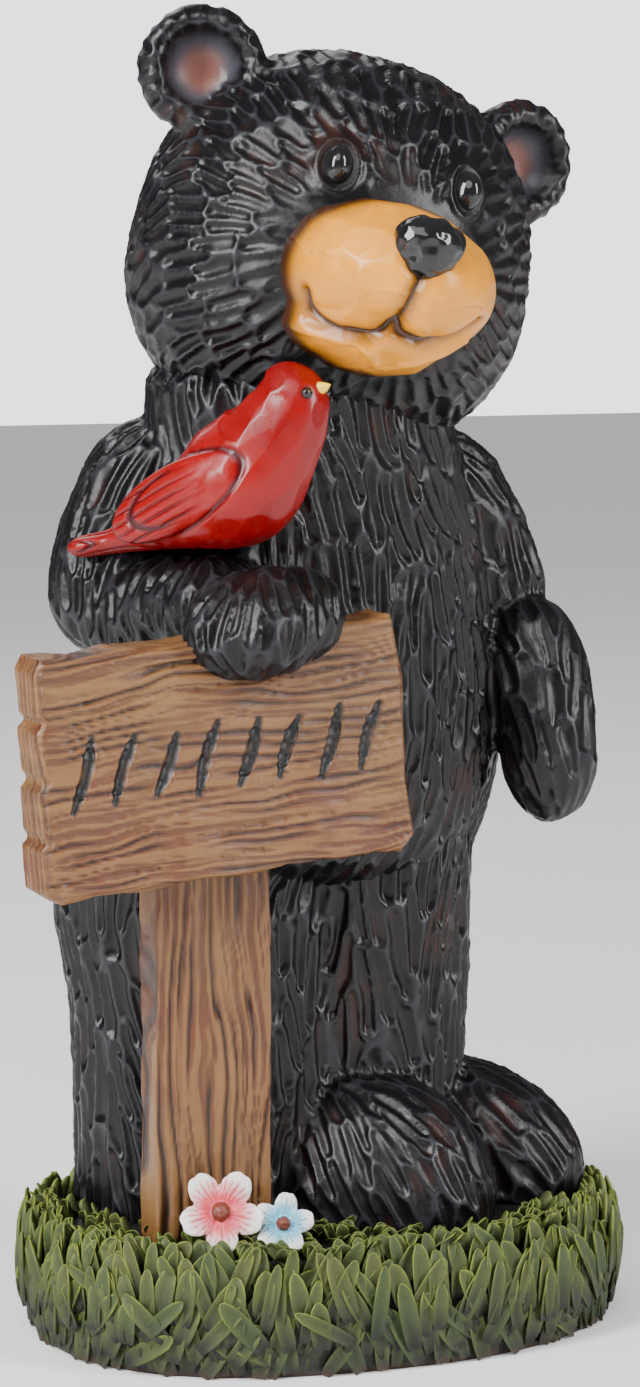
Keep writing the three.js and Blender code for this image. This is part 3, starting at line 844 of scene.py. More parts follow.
def build_fur(name, forms, settings, most, seed):
    """One skin round some forms, gouged all over, and cut down to at most so many triangles."""
    thing = forms.made(name)
    points, normals, edges = skinned(thing, settings.skin / MM, 4)
    flow, tag = forms.carry(points)
    long, wide, deep, cup = eased(tag, edges, 4).T
    flow = eased(flow, edges, 8)
    wavy = np.radians(24) * noise(points / 21, 3)[:, None]
    across = unit(np.cross(normals, flow))
    flow = unit(flow * np.cos(wavy) + across * np.sin(wavy) * np.linalg.norm(flow, axis=1, keepdims=True))
    flow = unit(flow - (flow * normals).sum(1, keepdims=True) * normals)
    overlap = 0.74
    places = gouge_places(points, flow, long * overlap, wide * overlap, seed)
    bend = 0.012 * noise(points / 30, 13) + 0.01 * noise(points / 9, 14)
    rim, along, number = gouges(points, places, flow, normals, long, wide, bend)
    # The fur thins out round the eyes and beside the muzzle
    calm, ring = np.ones(len(points)), np.zeros(len(points))
    for eye in EYES:
        left, up, ahead = from_head(points, on_head(*eye, 50))
        away = np.hypot(left / 5.6, up / 7.4) + np.abs(ahead) / 40
        calm *= smooth_step(1.25, 2.0, away)
        ring += bell(away - 1.22, 0.16)
    left, up, ahead = from_head(points, on_head(*MUZZLE, 50))
    calm *= np.maximum(smooth_step(0.95, 1.25, np.hypot(left / 36, up / 28)), smooth_step(10, -10, ahead))
    cut = np.maximum(0, 1 - (rim / 0.92) ** 2) ** 0.8
    uneven = 0.7 + 0.5 * np.random.default_rng(seed + 1).random(len(places))[number]
    height = -settings.depth / MM * deep * calm * cut * uneven * (1 + 0.25 * along)
    height = eased(height, edges, 2)[:, 0]
    moved = points + normals * (height + 0.8 * ring - 0.35 + 0.3 * noise(points / 6, 8) * calm)[:, None]
    # The underside is flat on the ground
    moved[:, 2] = np.maximum(moved[:, 2], GROUND + 0.3)
    low, high = (np.array(c) / MM for c in FRAME_BOX)
    moved = np.clip(moved, low + 0.05, high - 0.05)
    write_skin(thing, moved, relief=(1 - cut) * calm + (1 - calm) * 0.35, cup=cup)
    slimmed(thing, most)
    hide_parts("bear")
    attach(thing, "root")
    return thing


def paint_fur(things, settings):
    paint = Paint("Black fur paint")
    cup = paint.stored("cup")
    rusty = paint.ramp(paint.speckle(30, 3.0, 0.6, w=2.0), 0.52, 0.7)
    # The fur's ridges take grey as a painted highlight, and its hollows a real rust wash here and there
    fur = paint.wash_shade_highlight(
        Paint=settings.black, Wash=paint.mix(rusty, settings.black, settings.rust), Ridge=settings.ridge_highlight_and_ear_grey,
        Relief=paint.stored("relief"), Wash_Reach=0.9, Ridge_Start=0.6, Ridge_Amount=0.6, Blotch_Scale=90.0,
    )
    soft = paint.ramp(paint.speckle(120, 3.0, w=7.0), 0.2, 0.8, 0.75, 1.0)
    colour = paint.layered(
        fur,
        (paint.ramp(cup, 0.15, 0.6, 0.0, 0.9), np.multiply(settings.ridge_highlight_and_ear_grey, 2.2)),
        (paint.math("MULTIPLY", paint.ramp(cup, 0.45, 0.95), soft), settings.pink),
    )
    paint.brushed(things, colour, 620.0, (0.24, 0.46), 60.0, (0.0005, 0.3), Specular_IOR_Level=0.36)


# Lines of the muzzle, as places to the left of the head's middle and up from it
SEAM = [(-4.6, -8), (-5.7, -15.8), (-5.6, -22.1), (-6, -27.2)]
MOUTH = [
    (-31.2, -20.8), (-29, -24.5), (-25.2, -28.8), (-21, -30.6), (-16.4, -31.1), (-11.5, -30.7), (-8.8, -29.1),
    (-6.1, -27), (-3.6, -28.2), (-1, -28.9), (6.4, -29.1), (14.2, -27.3), (20, -23.6), (25.5, -18.5),
]
LOWER_LIP = [
    (-28, -31), (-19.9, -33.4), (-13.6, -33.6), (-8.1, -35.2), (-3.6, -37.8), (1, -37.8), (6, -35.6),
    (15.5, -31), (25, -24),
]


def laid(points, face, line):
    """A line of the muzzle, laid on those of its points that face forwards."""
    path = curve([(*place, 0) for place in line], np.linspace(0, 1, 40))
    front = np.flatnonzero(from_head(points)[2] > 40)
    on = points[front[nearest(face[front], path)]]
    on[1:-1] = (on[:-2] + 2 * on[1:-1] + on[2:]) / 4
    return on


def build_muzzle():
    forms = Forms()
    forms.add(*egg(on_head(*MUZZLE, 48), HEAD_FRONT, HEAD_LEFT, 45.5, 35.8, 26, spacing=1.5))
    forms.add(*egg(on_head(-2.5, -24, 44), HEAD_FRONT, HEAD_LEFT, 37.5, 29, 17.5, spacing=1.5))
    thing = forms.made("bear_muzzle")
    points, normals, edges = skinned(thing, 0.8, 6)
    flat = planed(points, normals, edges, 13, 0.95, 21)
    left, up, ahead = from_head(points)
    face = np.stack([left, up, np.zeros(len(points))], 1)
    seam, mouth, lip = (near_path(points, laid(points, face, line))[0] for line in (SEAM, MOUTH, LOWER_LIP))
    front = smooth_step(45, 56, ahead)
    inside = bell(mouth - 3, 2.2) * bell(lip - 3, 2.6) * front
    height = 1.1 * bell(lip, 1.7) - 1.6 * inside
    height -= 1.8 * bell(mouth, 1.5) + 1.5 * bell(mouth, 4.5)
    height -= 1.5 * bell(seam, 1.6) + 2.3 * bell(seam, 4.8)
    moved = flat + normals * (height * front)[:, None]
    # The brown lines of the mouth and seam, and wider painted shade beside their creases
    shade = np.maximum(bell(mouth, 1.7), 0.8 * bell(seam, 1.8))
    shade = np.maximum(shade, 0.6 * bell(np.minimum(mouth, seam), 4.6)) * front
    # How far each point stands off the head, where the border of the muzzle is airbrushed
    off = np.linalg.norm(np.stack([left / HEAD_WIDE, up / HEAD_HIGH, ahead / HEAD_DEEP], 1), axis=1)
    write_skin(thing, moved, mouth=shade, edge=1 - smooth_step(1.02, 1.3, off), lip=inside)
    slimmed(thing, 36000)
    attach(thing, "root")
    return thing


def paint_muzzle(thing, settings):
    paint = Paint("Tan muzzle paint")
    edge = paint.stored("edge")
    pale = np.minimum(1, np.multiply(settings.tan, 1.2) + 0.012)
    ruddy = np.add(settings.tan, settings.brown) / 2
    colour = paint.layered(
        settings.tan,
        (paint.ramp(paint.speckle(45, 3.0, w=1.0), 0.35, 0.7), pale),
        (paint.ramp(paint.speckle(700, 1.0, w=3.0), 0.72, 0.78, 0.0, 0.5), settings.brown),
        (paint.math("MULTIPLY", paint.stored("lip"), 0.7), ruddy),
        (paint.ramp(edge, 0.1, 0.9), ruddy),
        (paint.ramp(edge, 0.55, 1.0), settings.brown),
        # Brown mouth lines, with painted shade beside the creases
        (paint.ramp(paint.stored("mouth"), 0.12, 0.85, 0.0, 0.97), settings.brown),
    )
    coat = {"Coat_Weight": 0.12, "Coat_Roughness": 0.25}
    paint.brushed([thing], colour, 300.0, (0.26, 0.44), 70.0, (0.0004, 0.3), **coat)


def build_nose():
    forms = Forms()
    forms.add(*egg(on_head(-2.8, 1.6, 88), HEAD_FRONT, HEAD_LEFT, 9.5, 11.8, 8, fullness=2.1, spacing=1.0))
    forms.add(*egg(on_head(-2.9, -2.6, 87.5), HEAD_FRONT, HEAD_LEFT, 9, 10, 8, spacing=1.0))
    thing = forms.made("bear_nose")
    points, normals, edges = skinned(thing, 0.5, 40)
    flat = planed(points, normals, edges, 4.5, 0.2, 31)
    write_skin(thing, flat + normals * (0.5 * noise(points / 3, 4))[:, None])
    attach(thing, "root")
    return thing


def single(name, shape):
    """A small piece of one form."""
    forms = Forms()
    forms.add(*shape)
    thing = forms.made(name)
    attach(thing, "root")
    return thing


def build_eye(name, left, up):
    facing = unit(HEAD_FRONT + 0.3 * np.sign(left) * HEAD_LEFT + 0.15 * HEAD_UP)
    return single(name, egg(on_head(left, up, 50), facing, HEAD_LEFT, 6.9, 5, 6.8, spacing=0.6))


def paint_gloss(things, name, colour, rough):
    paint = Paint(name)
    pale = np.minimum(1, np.multiply(colour, 1.6) + 0.004)
    paint.brushed(
        things, paint.mix(paint.speckle(150, 2.0), colour, pale), 260.0, (rough * 0.6, rough * 1.8), 200.0,
        (0.0002, 0.25), Coat_Weight=0.6, Coat_Roughness=0.06, Specular_IOR_Level=0.3,
    )


# The sign


def board_axes():
    along = turned((1, 0, 0), -BOARD_TILT, (0, 1, 0))
    return along, np.cross(along, (0, 1, 0))


def strokes():
    """The short cut strokes of the sign, each as three points on its front face."""
    along, up = board_axes()
    front = BOARD_CENTRE - (0, 11, 0)
    found = []
    for k in range(8):
        x = (k - 3.5) * 14
        half = 11 - k % 3
        bow = 1 if k % 2 == 0 else -1
        found.append([
            front + (x + 4) * along + (1 + half) * up,
            front + (x + bow) * along + up,
            front + (x - 4) * along + (1 - half) * up,
        ])
    return found


def grain(along, across, deep, seed):
    """Cut grain, from 0 on the ridges to 1 in the grooves, that runs along its first direction."""
    bend = 1.5 * noise(np.stack([along / 48, across / 15, deep / 40], 1), seed)
    bend += 0.35 * noise(np.stack([along / 13, across / 7, deep / 20], 1), seed + 1)
    marks = np.zeros(len(along))
    for pitch, share, longest in ((3.4, 1.0, 26), (1.7, 0.5, 15)):
        lane = across / pitch + bend * 3.4 / pitch
        row = np.floor(lane)
        groove = smooth_step(0.62, 0.0, np.abs(lane - row - 0.5) * 2)
        broken = noise(np.stack([along / longest, row * 7.31, np.full(len(along), pitch)], 1), seed + 2)
        marks = np.maximum(marks, share * groove * smooth_step(-0.35, 0.25, broken))
    return marks


def build_wood(name, node, settings, axes, cuts=(), most=68000):
    """A piece of the sign from its solid, with the grain and any strokes cut into it."""
    thing = placed(name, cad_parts[node].data.copy())
    points, normals, _ = skinned(thing, settings.skin / MM, 5)
    along, across = axes
    a, b, c = points @ along, points @ across, points @ np.cross(along, across)
    end = np.abs(normals @ along)
    marks = grain(a, b, c, 40) * (1 - end) + end * grain(b * 0.6, c, a, 50)
    away = np.full(len(points), 1e9)
    for path in cuts:
        distance, share = near_path(points, path, 24)
        width = 1.5 * np.sqrt(np.clip(1.08 - (2 * share - 1) ** 2 * 0.6, 0.1, 1))
        away = np.minimum(away, distance / width)
    height = 0.35 * noise(points / 11, 61) - settings.grain / MM * marks
    height -= 0.9 * bell(away, 1)
    height += 0.3 * np.exp(-((away - 1.6) ** 2) * 6)
    moved = points + normals * (height - 0.35)[:, None]
    write_skin(thing, moved, relief=1 - marks, ink=1 - smooth_step(0.8, 1.3, away))
    slimmed(thing, most)
    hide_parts(node)
    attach(thing, "root")
    return thing


def paint_wood(thing, settings, stretch):
    paint = Paint(f"Painted wood {thing.name}")
    streak = paint.ramp(paint.speckle(1.0, 4.0, 0.6, stretch=stretch), 0.35, 0.7)
    ruddy = paint.ramp(paint.speckle(28, 2.0, w=5.0), 0.42, 0.66, 0.0, 0.75)
    base = paint.layered(
        settings.wood,
        (0.65, paint.mix(streak, settings.wood, settings.light)),
        (ruddy, np.multiply(settings.wood, (1.15, 0.7, 0.6))),
    )
    # The grooves of the grain take the dark wash, and the ridges the light colour as a painted highlight
    wood = paint.wash_shade_highlight(
        Paint=base, Wash=settings.dark, Ridge=settings.light, Relief=paint.stored("relief"),
        Wash_Reach=0.66, Ridge_Start=0.82, Ridge_Amount=0.6, Blotch_Scale=80.0,
    )
    paint.brushed(
        [thing], paint.mix(paint.stored("ink"), wood, settings.ink), 480.0, (0.34, 0.6), 90.0, (0.0006, 0.6),
        grain=paint.speckle(1.0, 4.0, 0.7, stretch=tuple(s * 3.0 for s in stretch), w=9.0),
        Coat_Weight=0.15, Coat_Roughness=0.3,
    )


# The bird


# Forms of the bird as (x, y, z, half width, half depth) along their length
BIRD_BODY = [
    (-80.5, 12.5, 262, 9, 3.4), (-66, -2, 266.5, 8, 5), (-54, -18, 275, 15, 12.5),
    (-42, -34, 284.5, 19, 20.5), (-34, -43, 298, 16, 17.5), (-29.5, -47.7, 310, 12.5, 14),
    (-28.8, -48.8, 324, 11, 12.5),
]
BEAK = [(-25.5, -53.5, 314.5, 2.6, 2.8), (-22.6, -57.4, 315.7, 2.2, 2.2), (-20.3, -60.6, 317, 0.4, 0.4)]
WING_LONG, WING_THICK, WING_WIDE = 27, 5, 11


def build_bird(settings):
    across = left_at(BIRD_TURN)
    wing_axis = unit((0.52, -0.72, 0.46))
    wings = [(side, np.array((-51, -24, 281)) + side * 13 * across) for side in (-1, 1)]
    forms = Forms()
    forms.add(*limb(BIRD_BODY, [across], (0.05, 0.17), spacing=1.2))
    for _, centre in wings:
        forms.add(*egg(centre, wing_axis, across, WING_LONG, WING_THICK, WING_WIDE, spacing=1.2))
    thing = forms.made("red_bird_body")
    points, normals, edges = skinned(thing, settings.skin / MM, 6)
    front = smooth_step(-62, -44, points[:, 0])
    flat = planed(points, normals, edges, 8.5, 0.4, 71)
    points = points + (flat - points) * front[:, None]
    groove = np.zeros(len(points))
    up = np.cross(wing_axis, across)
    for side, centre in wings:
        d = points - centre
        a, b, c = d @ wing_axis, d @ up, (d @ across) * side
        on = smooth_step(-2, 2.5, c) * (1 - smooth_step(8.5, 10.5, np.abs(b))) * (1 - smooth_step(-2, 16, a))
        feathers = creases(b / 3.4 + 0.5 * noise(points / 19, 77))
        groove = np.maximum(groove, on * smooth_step(0.62, 1.0, feathers))
        # The rim where the wing lies on the body
        rim = bell(np.hypot(a / WING_LONG, b / WING_WIDE) - 1.02, 0.07) * smooth_step(-3, 2, c)
        groove = np.maximum(groove, 0.9 * rim)
    tail = 1 - smooth_step(-68, -60, points[:, 0])
    groove = np.maximum(groove, tail * smooth_step(0.6, 1.0, creases((points @ across) / 3.1)))
    write_skin(thing, points - normals * (0.75 * groove)[:, None], relief=1 - groove)
    slimmed(thing, 60000)
    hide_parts("red_bird")
    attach(thing, "root")
    beak = single("red_bird_beak", limb(BEAK, [across], (0.2, 0.3), spacing=0.6))
    eyes = []
    for side, name in ((-1, "red_bird_eye_right"), (1, "red_bird_eye_left")):
        centre = np.array((-23.4, -55.9, 314.4)) + side * 6 * across
        eyes.append(single(name, egg(centre, across, (0, 0, 1), 2.2, 2.0, 1.8, spacing=0.4)))
    return thing, beak, eyes


def paint_bird(thing, settings):
    paint = Paint("Red bird paint")
    cloudy = paint.ramp(paint.speckle(40, 3.0, 0.6, w=1.0), 0.35, 0.75)
    deep = np.multiply(settings.red, 0.55) + np.multiply(settings.maroon_and_groove_shade, 0.45)
    # The grooves of the feathers and the rims of the wings take maroon as painted shade
    colour = paint.wash_shade_highlight(
        Paint=paint.mix(cloudy, settings.red, deep), Wash=settings.maroon_and_groove_shade, Ridge=settings.red,
        Relief=paint.stored("relief"), Wash_Reach=0.92, Ridge_Start=0.9, Ridge_Amount=0.3, Blotch_Scale=90.0,
    )
    paint.brushed(
        [thing], colour, 300.0, (0.22, 0.42), 80.0, (0.0004, 0.3),
        Coat_Weight=0.25, Coat_Roughness=0.12, Specular_IOR_Level=0.3,
    )


# The flowers


def build_flower(name, node, centre, radius, first, seed):
    """A flower of five petals and a button. first is the angle of its first petal."""
    facing = unit((-0.25, -0.88, 0.4))
    right = unit(np.cross(facing, (0, 0, 1)))
    up = np.cross(right, facing)
    forms = Forms()
    rng = np.random.default_rng(seed)
    for k in range(5):
        angle = math.radians(first + 72 * k)
        out = math.cos(angle) * right + math.sin(angle) * up
        side = np.cross(facing, out)
        long = radius * 0.45 * (0.96 + 0.08 * rng.random())
        rings, start, end = egg(
            centre + out * radius * 0.55, out, facing, long, 1.5, radius * 0.37, spacing=0.7
        )
        points = np.vstack([[start], rings.reshape(-1, 3), [end]])
        d = points - centre
        r, s = d @ out / radius, d @ side / radius
        lift = 0.16 * radius * (r**2) * 1.4 + 0.05 * radius * s / 0.37 - 0.02 * radius
        notch = 0.05 * radius * bell(s, 0.1) * smooth_step(0.7, 1, r)
        points = points + facing * lift[:, None] - out * notch[:, None]
        tag = np.stack([np.hypot(r, s), s / np.maximum(r, 0.1), r * 0], 1)
        forms.add(points[1:-1].reshape(rings.shape), points[0], points[-1], tag)
    middle = egg(centre + facing * 1.2, facing, right, 2.4, radius * 0.2, radius * 0.2, spacing=0.5)
    forms.add(*middle, (0, 0, 1))
    thing = forms.made(name)
    points, normals, edges = skinned(thing, 0.42, 3)
    reach, slope, button = eased(forms.carry(points)[1], edges, 2).T
    groove = smooth_step(0.55, 1, creases(slope * 4.5)) * (1 - button) * (1 - smooth_step(0.55, 0.95, reach))
    pit = noise(points / 0.9, seed) * button
    moved = points - normals * (0.35 * groove - 0.3 * pit)[:, None]
    moved[:, 2] = np.maximum(moved[:, 2], GROUND + 0.1)
    write_skin(thing, moved, reach=reach, relief=1 - groove, button=button)
    slimmed(thing, 40000)
    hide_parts(node)
    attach(thing, "root")
    return thing


def paint_flower(thing, settings, middle):
    paint = Paint(f"Petal paint {thing.name}")
    cloudy = paint.math("MULTIPLY_ADD", paint.speckle(260, 3.0), 0.3, -0.15)
    far = paint.ramp(paint.math("ADD", paint.stored("reach"), cloudy), 0.35, 0.9)
    streak = paint.math("MULTIPLY", paint.ramp(paint.stored("relief"), 0.9, 0.2), 0.8)
    colour = paint.layered(
        middle,
        (far, settings.white),
        (streak, np.multiply(middle, (0.75, 0.45, 0.5))),
        (paint.ramp(paint.stored("button"), 0.4, 0.6), settings.button),
    )
    paint.brushed([thing], colour, 700.0, (0.35, 0.55), 200.0, (0.0003, 0.4))


# The grass


# Heights of the mound's side, and how wide it is there as a share of its widest
MOUND_SIDE = np.array(((0, 0.96), (13, 1.0), (25, 0.965), (33, 0.9), (38, 0.82)))
MOUND_WIDE, MOUND_DEEP = 105, 76.5

# Ovals that the bear and the post stand on, as (middle, direction of the width, half width, half depth)
FOOTPRINTS = (
    ((-29, 24), left_at(HIP_TURN), 45, 48),
    ((21, 27), left_at(HIP_TURN), 42, 47),
    ((12, -6), left_at(FEET_TURN), 34, 54),
    ((56, 14), left_at(FEET_TURN), 34, 54),
    ((-49, -24.7), left_at(0), 21, 8.5),
)


def mound_share(height):
    return np.interp(height, *MOUND_SIDE.T)


def mound_point(angle, height, share):
    u, v = oval(angle, 2.3)
    x, y = u * MOUND_WIDE * share, v * MOUND_DEEP * share
    turn = math.radians(MOUND_TURN)
    return np.stack([
        MOUND_CENTRE[0] + x * math.cos(turn) - y * math.sin(turn),
        MOUND_CENTRE[1] + x * math.sin(turn) + y * math.cos(turn),
        np.broadcast_to(height, np.shape(x)).astype(float),
    ], -1)


def is_free(spot):
    """Whether a spot on the mound is clear of the feet, the post and the flowers."""
    for middle, across, wide, deep in FOOTPRINTS:
        d = spot - middle
        if math.hypot(d @ across[:2] / (wide + 2), d @ (-across[1], across[0]) / (deep + 2)) < 1:
            return False
    flowers = ((PINK_CENTRE, 9), (BLUE_CENTRE, 7))
    return all(np.linalg.norm(spot - centre[:2] - (0, -3)) >= reach for centre, reach in flowers)


BLADE_STEPS = np.array([0.02, 0.16, 0.34, 0.54, 0.72, 0.87, 0.97])
BLADE_WIDTHS = np.array([0.7, 0.9, 1.0, 1.0, 0.92, 0.74, 0.4])
BLADE_SIDES = 10


def blade(root, way, face, length, width, curl):
    """One leaf-shaped blade with raised edges, from its root to its tip, and its tags."""
    t, half = BLADE_STEPS, width / 2 * BLADE_WIDTHS
    side = unit(np.cross(way, face))
    middle = root + way * (length * t)[:, None] + face * (curl * t**2)[:, None]
    angle = np.linspace(0, 2 * math.pi, BLADE_SIDES, endpoint=False)
    flat = np.abs(np.cos(angle))
    across = np.cos(angle) * half[:, None]
    out = (np.sin(angle) * 0.32 + 0.6 * flat**2) * half[:, None]
    rings = middle[:, None] + side * across[..., None] + face * out[..., None]
    relief = np.clip(t, 0, 1)[:, None] ** 0.6 * (0.5 + 0.5 * flat**3)
    return rings, root, root + way * length + face * curl, np.concatenate([[0], relief.ravel(), [1]])


def build_grass(settings):
    forms = Forms()
    levels = [(0.0, share) for share in (0.2, 0.5, 0.8)]
    levels += [(height, mound_share(height) - 0.04) for height in np.linspace(0.05, GROUND - 0.3, 18)]
    levels += [(GROUND - 0.05, share) for share in (0.7, 0.55, 0.4, 0.2)]
    angle = np.linspace(0, 2 * math.pi, 240, endpoint=False)
    rings = np.stack([mound_point(angle, *level) for level in levels])
    # The mound under the blades has no relief, so it takes the painted shade
    forms.add(rings, MOUND_CENTRE, MOUND_CENTRE + (0, 0, GROUND - 0.05), (0, 0.3))
    rng = np.random.default_rng(17)
    length, width = settings.blade / MM, settings.width / MM
    highest = 44

    def grow(root, outward, lean, top, size):
        """Adds a blade that leans outward and is turned at random, no higher than the top."""
        way = turned(unit(outward * lean - DOWN), np.clip(rng.normal(0, 24), -60, 60), outward)
        long = min(length * rng.uniform(0.75, 1.3) * size, (top - root[2]) / max(way[2], 0.2))
        if long < 5:
            return
        wide = width * rng.uniform(0.75, 1.2) * min(1, 0.5 + 0.6 * size)
        root = root + outward * rng.uniform(-0.9, 0.9)
        *shape, relief = blade(root, unit(way), outward, long, wide, rng.uniform(-2.4, 0.4))
        forms.add(*shape, np.stack([relief, np.full(len(relief), rng.random())], 1))

    around = 118
    for row, height in enumerate(np.arange(0.8, 34, 5.2)):
        share = mound_share(height) - 0.032
        for k in range(around):
            a = 2 * math.pi * (k + 0.5 * (row % 2) + rng.uniform(-0.35, 0.35)) / around
            z = max(0.3, height + rng.uniform(-2, 2))
            root, ahead = (mound_point(np.array(turn), z, share) for turn in (a, a + 0.01))
            grow(root, unit(np.cross(ahead - root, (0, 0, 1))), 0.05, highest - 0.2, 1)
    for _ in range(900):
        a, share = rng.uniform(0, 2 * math.pi), math.sqrt(rng.uniform(0.2, 0.8))
        root = mound_point(np.array(a), GROUND - 1.5, share * 0.97)
        if is_free(root[:2]):
            outward = unit(np.array([*(root[:2] - MOUND_CENTRE[:2]), 0]))
            grow(root, turned(outward, rng.uniform(-50, 50)), rng.uniform(0.4, 1.6), highest, 0.6)
    low, high = (np.array(c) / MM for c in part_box("grass_base"))
    points = np.clip(np.vstack(forms.points), low + 0.01, (*(high[:2] - 0.01), highest))
    relief, shade = np.vstack(forms.tags).T
    thing = new_object("grass_mound", points, forms.faces)
    write_skin(thing, points, relief=relief, shade=shade, rim=1 - smooth_step(0.6, 2.2, points[:, 2]))
    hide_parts("grass_base")
    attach(thing, "root")
    return thing


def paint_grass(thing, settings):
    paint = Paint("Grass paint")
    warm = np.multiply(settings.green, (1.5, 1.15, 0.9))
    # Painted shade at the roots and between the blades, and the tip colour on tips and raised edges, partly
    # paint and partly painted highlight
    colour = paint.wash_shade_highlight(
        Paint=paint.mix(paint.stored("shade"), settings.green, warm), Wash=settings.blade_gap_shade, Ridge=settings.tip,
        Relief=paint.stored("relief"), Wash_Reach=0.62, Ridge_Start=0.58, Ridge_Amount=0.8,
        Blotch_Scale=110.0,
    )
    colour = paint.mix(paint.math("MULTIPLY", paint.stored("rim"), 0.7), colour, settings.rim)
    paint.brushed([thing], colour, 600.0, (0.5, 0.75), 120.0, (0.0006, 0.6))


# The stage


TARGET = Vector((0.002, -0.002, 0.212))
SENSOR = 36

# Soft boxes as (name, azimuth and elevation in degrees, distance and size in metres, watts)
WINDOWS = (
    ("left window", 70, 30, 1.5, (0.4, 1.3), 38),
    ("right window", -40, 24, 1.6, (0.35, 1.3), 24),
    ("back window", 180, 40, 1.8, (1.2, 0.8), 8),
)


def aimed(name, data, azimuth, elevation, distance):
    """A camera or lamp that stands far round and high, in radians, and looks at the statue."""
    level = math.cos(elevation)
    way = Vector((-math.sin(azimuth) * level, -math.cos(azimuth) * level, math.sin(elevation)))
    thing = placed(name, data)
    thing.location = TARGET + way * distance
    thing.rotation_euler = (-way).to_track_quat("-Z", "Y").to_euler()
    return thing


def build_stage(settings):
    """A pale floor, soft lights and the camera."""
    mesh = bpy.data.meshes.new("floor")
    mesh.from_pydata([(-6, -6, 0), (6, -6, 0), (6, 6, 0), (-6, 6, 0)], [], [(0, 1, 2, 3)])
    floor = placed("floor", mesh)
    Paint("Pale floor").finish(
        [floor], Base_Color=settings.floor, Roughness=0.9, Emission_Color=(1, 1, 1), Emission_Strength=0.12
    )

    camera = bpy.data.cameras.new("camera")
    # The view is 1387 parts high at a distance of 3600
    camera.lens = SENSOR * 3600 / 1387
    camera.sensor_width = SENSOR
    camera.clip_end = 20
    bpy.context.scene.camera = aimed(
        "camera", camera, settings.azimuth, settings.elevation, settings.distance
    )

    for name, azimuth, elevation, distance, size, power in WINDOWS:
        light = bpy.data.lights.new(name, "AREA")
        light.shape = "RECTANGLE"
        light.size, light.size_y = size
        light.energy = power
        aimed(name, light, math.radians(azimuth), math.radians(elevation), distance)
    sun = bpy.data.lights.new("daylight", "SUN")
    sun.energy = 1.3
    sun.angle = math.radians(40)
    placed("daylight", sun).rotation_euler = (math.radians(42), 0, math.radians(-35))

    # The room looks white to the camera, and lights the statue softly
    world = bpy.data.worlds.new("pale room")
    bpy.context.scene.world = world
    world.use_nodes = True
    room = Paint(tree=world.node_tree)
    seen = room.node("ShaderNodeLightPath").outputs["Is Camera Ray"]
    strength = room.node("ShaderNodeMapRange", {"Value": seen, "To Min": 0.15, "To Max": 2.4})
    background = room.tree.nodes["Background"]
    room.feed(background.inputs["Color"], (1, 1, 1))
    room.feed(background.inputs["Strength"], strength.outputs[0])


# Operators


class STATUE_OT_bear(bpy.types.Operator):
    """Builds the bear's fur, muzzle, nose and eyes."""

    bl_idname = "statue.bear"
    bl_label = "Bear"

    def execute(self, context):
        settings = context.scene.statue_bear
        pieces = (("head", head_forms(), 0.76), ("trunk", trunk_forms(), 0.96), ("legs", leg_forms(), 0.9))
        furs = [
            build_fur(f"bear_{name}_fur", forms, settings, int(settings.most * share), 11 + k)
            for k, (name, forms, share) in enumerate(pieces)
        ]
        paint_fur(furs, settings)
        muzzle = build_muzzle()
        paint_muzzle(muzzle, settings)
        nose = build_nose()
        eyes = [build_eye(f"bear_eye_{side}", *place) for side, place in zip(("right", "left"), EYES)]
        paint_gloss([nose, *eyes], "Black gloss", settings.gloss, 0.1)
        return {"FINISHED"}


class STATUE_OT_sign(bpy.types.Operator):
    """Builds the sign's board and post."""

    bl_idname = "statue.sign"
    bl_label = "Sign"

    def execute(self, context):
        settings = context.scene.statue_sign
        board = build_wood("sign_board_wood", "sign_board", settings, board_axes(), strokes(), 96000)
        paint_wood(board, settings, (14.0, 60.0, 260.0))
        post = build_wood("sign_post_wood", "sign_post", settings, (-DOWN, np.array((1.0, 0, 0))))
        paint_wood(post, settings, (260.0, 60.0, 14.0))
        return {"FINISHED"}


class STATUE_OT_bird(bpy.types.Operator):
    """Builds the bird on the bear's arm."""

    bl_idname = "statue.bird"
    bl_label = "Bird"

    def execute(self, context):
        settings = context.scene.statue_bird
        body, beak, eyes = build_bird(settings)
        paint_bird(body, settings)
        paint_gloss([beak], "Yellow beak paint", settings.yellow, 0.2)
        paint_gloss(eyes, "Bird eye gloss", settings.gloss, 0.1)
        return {"FINISHED"}


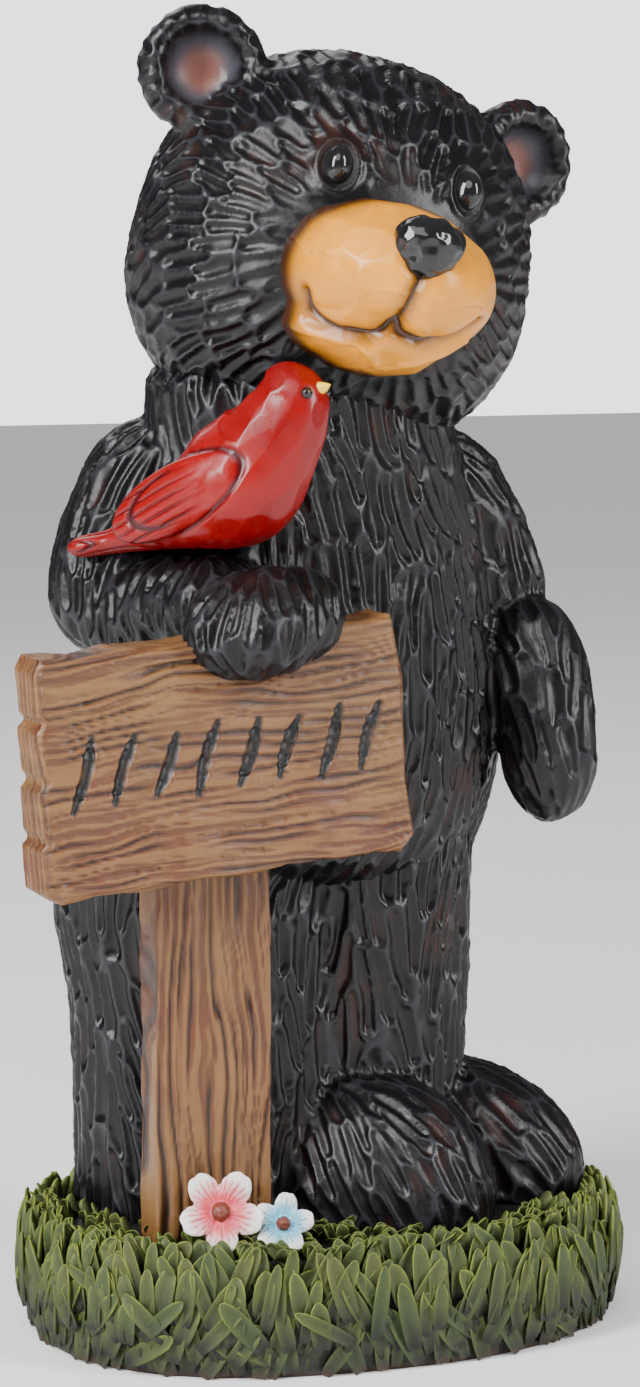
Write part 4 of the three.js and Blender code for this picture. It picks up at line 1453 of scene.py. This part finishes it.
class STATUE_OT_flowers(bpy.types.Operator):
    """Builds the two flowers at the foot of the sign."""

    bl_idname = "statue.flowers"
    bl_label = "Flowers"

    def execute(self, context):
        settings = context.scene.statue_flowers
        pink = build_flower("pink_flower_petals", "pink_flower", PINK_CENTRE, 14.5, 54, 5)
        paint_flower(pink, settings, settings.pink)
        blue = build_flower("blue_flower_petals", "blue_flower", BLUE_CENTRE, 10.5, 30, 6)
        paint_flower(blue, settings, settings.blue)
        return {"FINISHED"}


class STATUE_OT_grass(bpy.types.Operator):
    """Builds the mound of grass."""

    bl_idname = "statue.grass"
    bl_label = "Grass"

    def execute(self, context):
        settings = context.scene.statue_grass
        grass = build_grass(settings)
        paint_grass(grass, settings)
        return {"FINISHED"}


class STATUE_OT_stage(bpy.types.Operator):
    """Builds the floor, the lights and the camera."""

    bl_idname = "statue.stage"
    bl_label = "Stage"

    def execute(self, context):
        build_stage(context.scene.statue_stage)
        return {"FINISHED"}


class STATUE_PT_panel(bpy.types.Panel):
    """Lists the steps and settings of the statue."""

    bl_idname = "STATUE_PT_panel"
    bl_label = "Carved bear statue"
    bl_space_type = "VIEW_3D"
    bl_region_type = "UI"
    bl_category = "Statue"

    def draw(self, context):
        for operator, (name, group) in zip(OPERATORS, SETTINGS.items()):
            box = self.layout.box()
            box.operator(operator.bl_idname)
            for key in group.__annotations__:
                box.prop(getattr(context.scene, name), key)


OPERATORS = (
    STATUE_OT_bear,
    STATUE_OT_sign,
    STATUE_OT_bird,
    STATUE_OT_flowers,
    STATUE_OT_grass,
    STATUE_OT_stage,
)
SETTINGS = {
    "statue_bear": BearSettings,
    "statue_sign": SignSettings,
    "statue_bird": BirdSettings,
    "statue_flowers": FlowerSettings,
    "statue_grass": GrassSettings,
    "statue_stage": StageSettings,
}


def register():
    for group in SETTINGS.values():
        bpy.utils.register_class(group)
    for operator in (*OPERATORS, STATUE_PT_panel):
        bpy.utils.register_class(operator)
    for name, group in SETTINGS.items():
        setattr(bpy.types.Scene, name, PointerProperty(type=group))


def unregister():
    for name in SETTINGS:
        delattr(bpy.types.Scene, name)
    for made in (STATUE_PT_panel, *reversed(OPERATORS), *reversed(SETTINGS.values())):
        bpy.utils.unregister_class(made)


def main():
    register()
    bpy.ops.statue.bear()
    bpy.ops.statue.sign()
    bpy.ops.statue.bird()
    bpy.ops.statue.flowers()
    bpy.ops.statue.grass()
    bpy.ops.statue.stage()


if __name__ == "__main__":
    main()
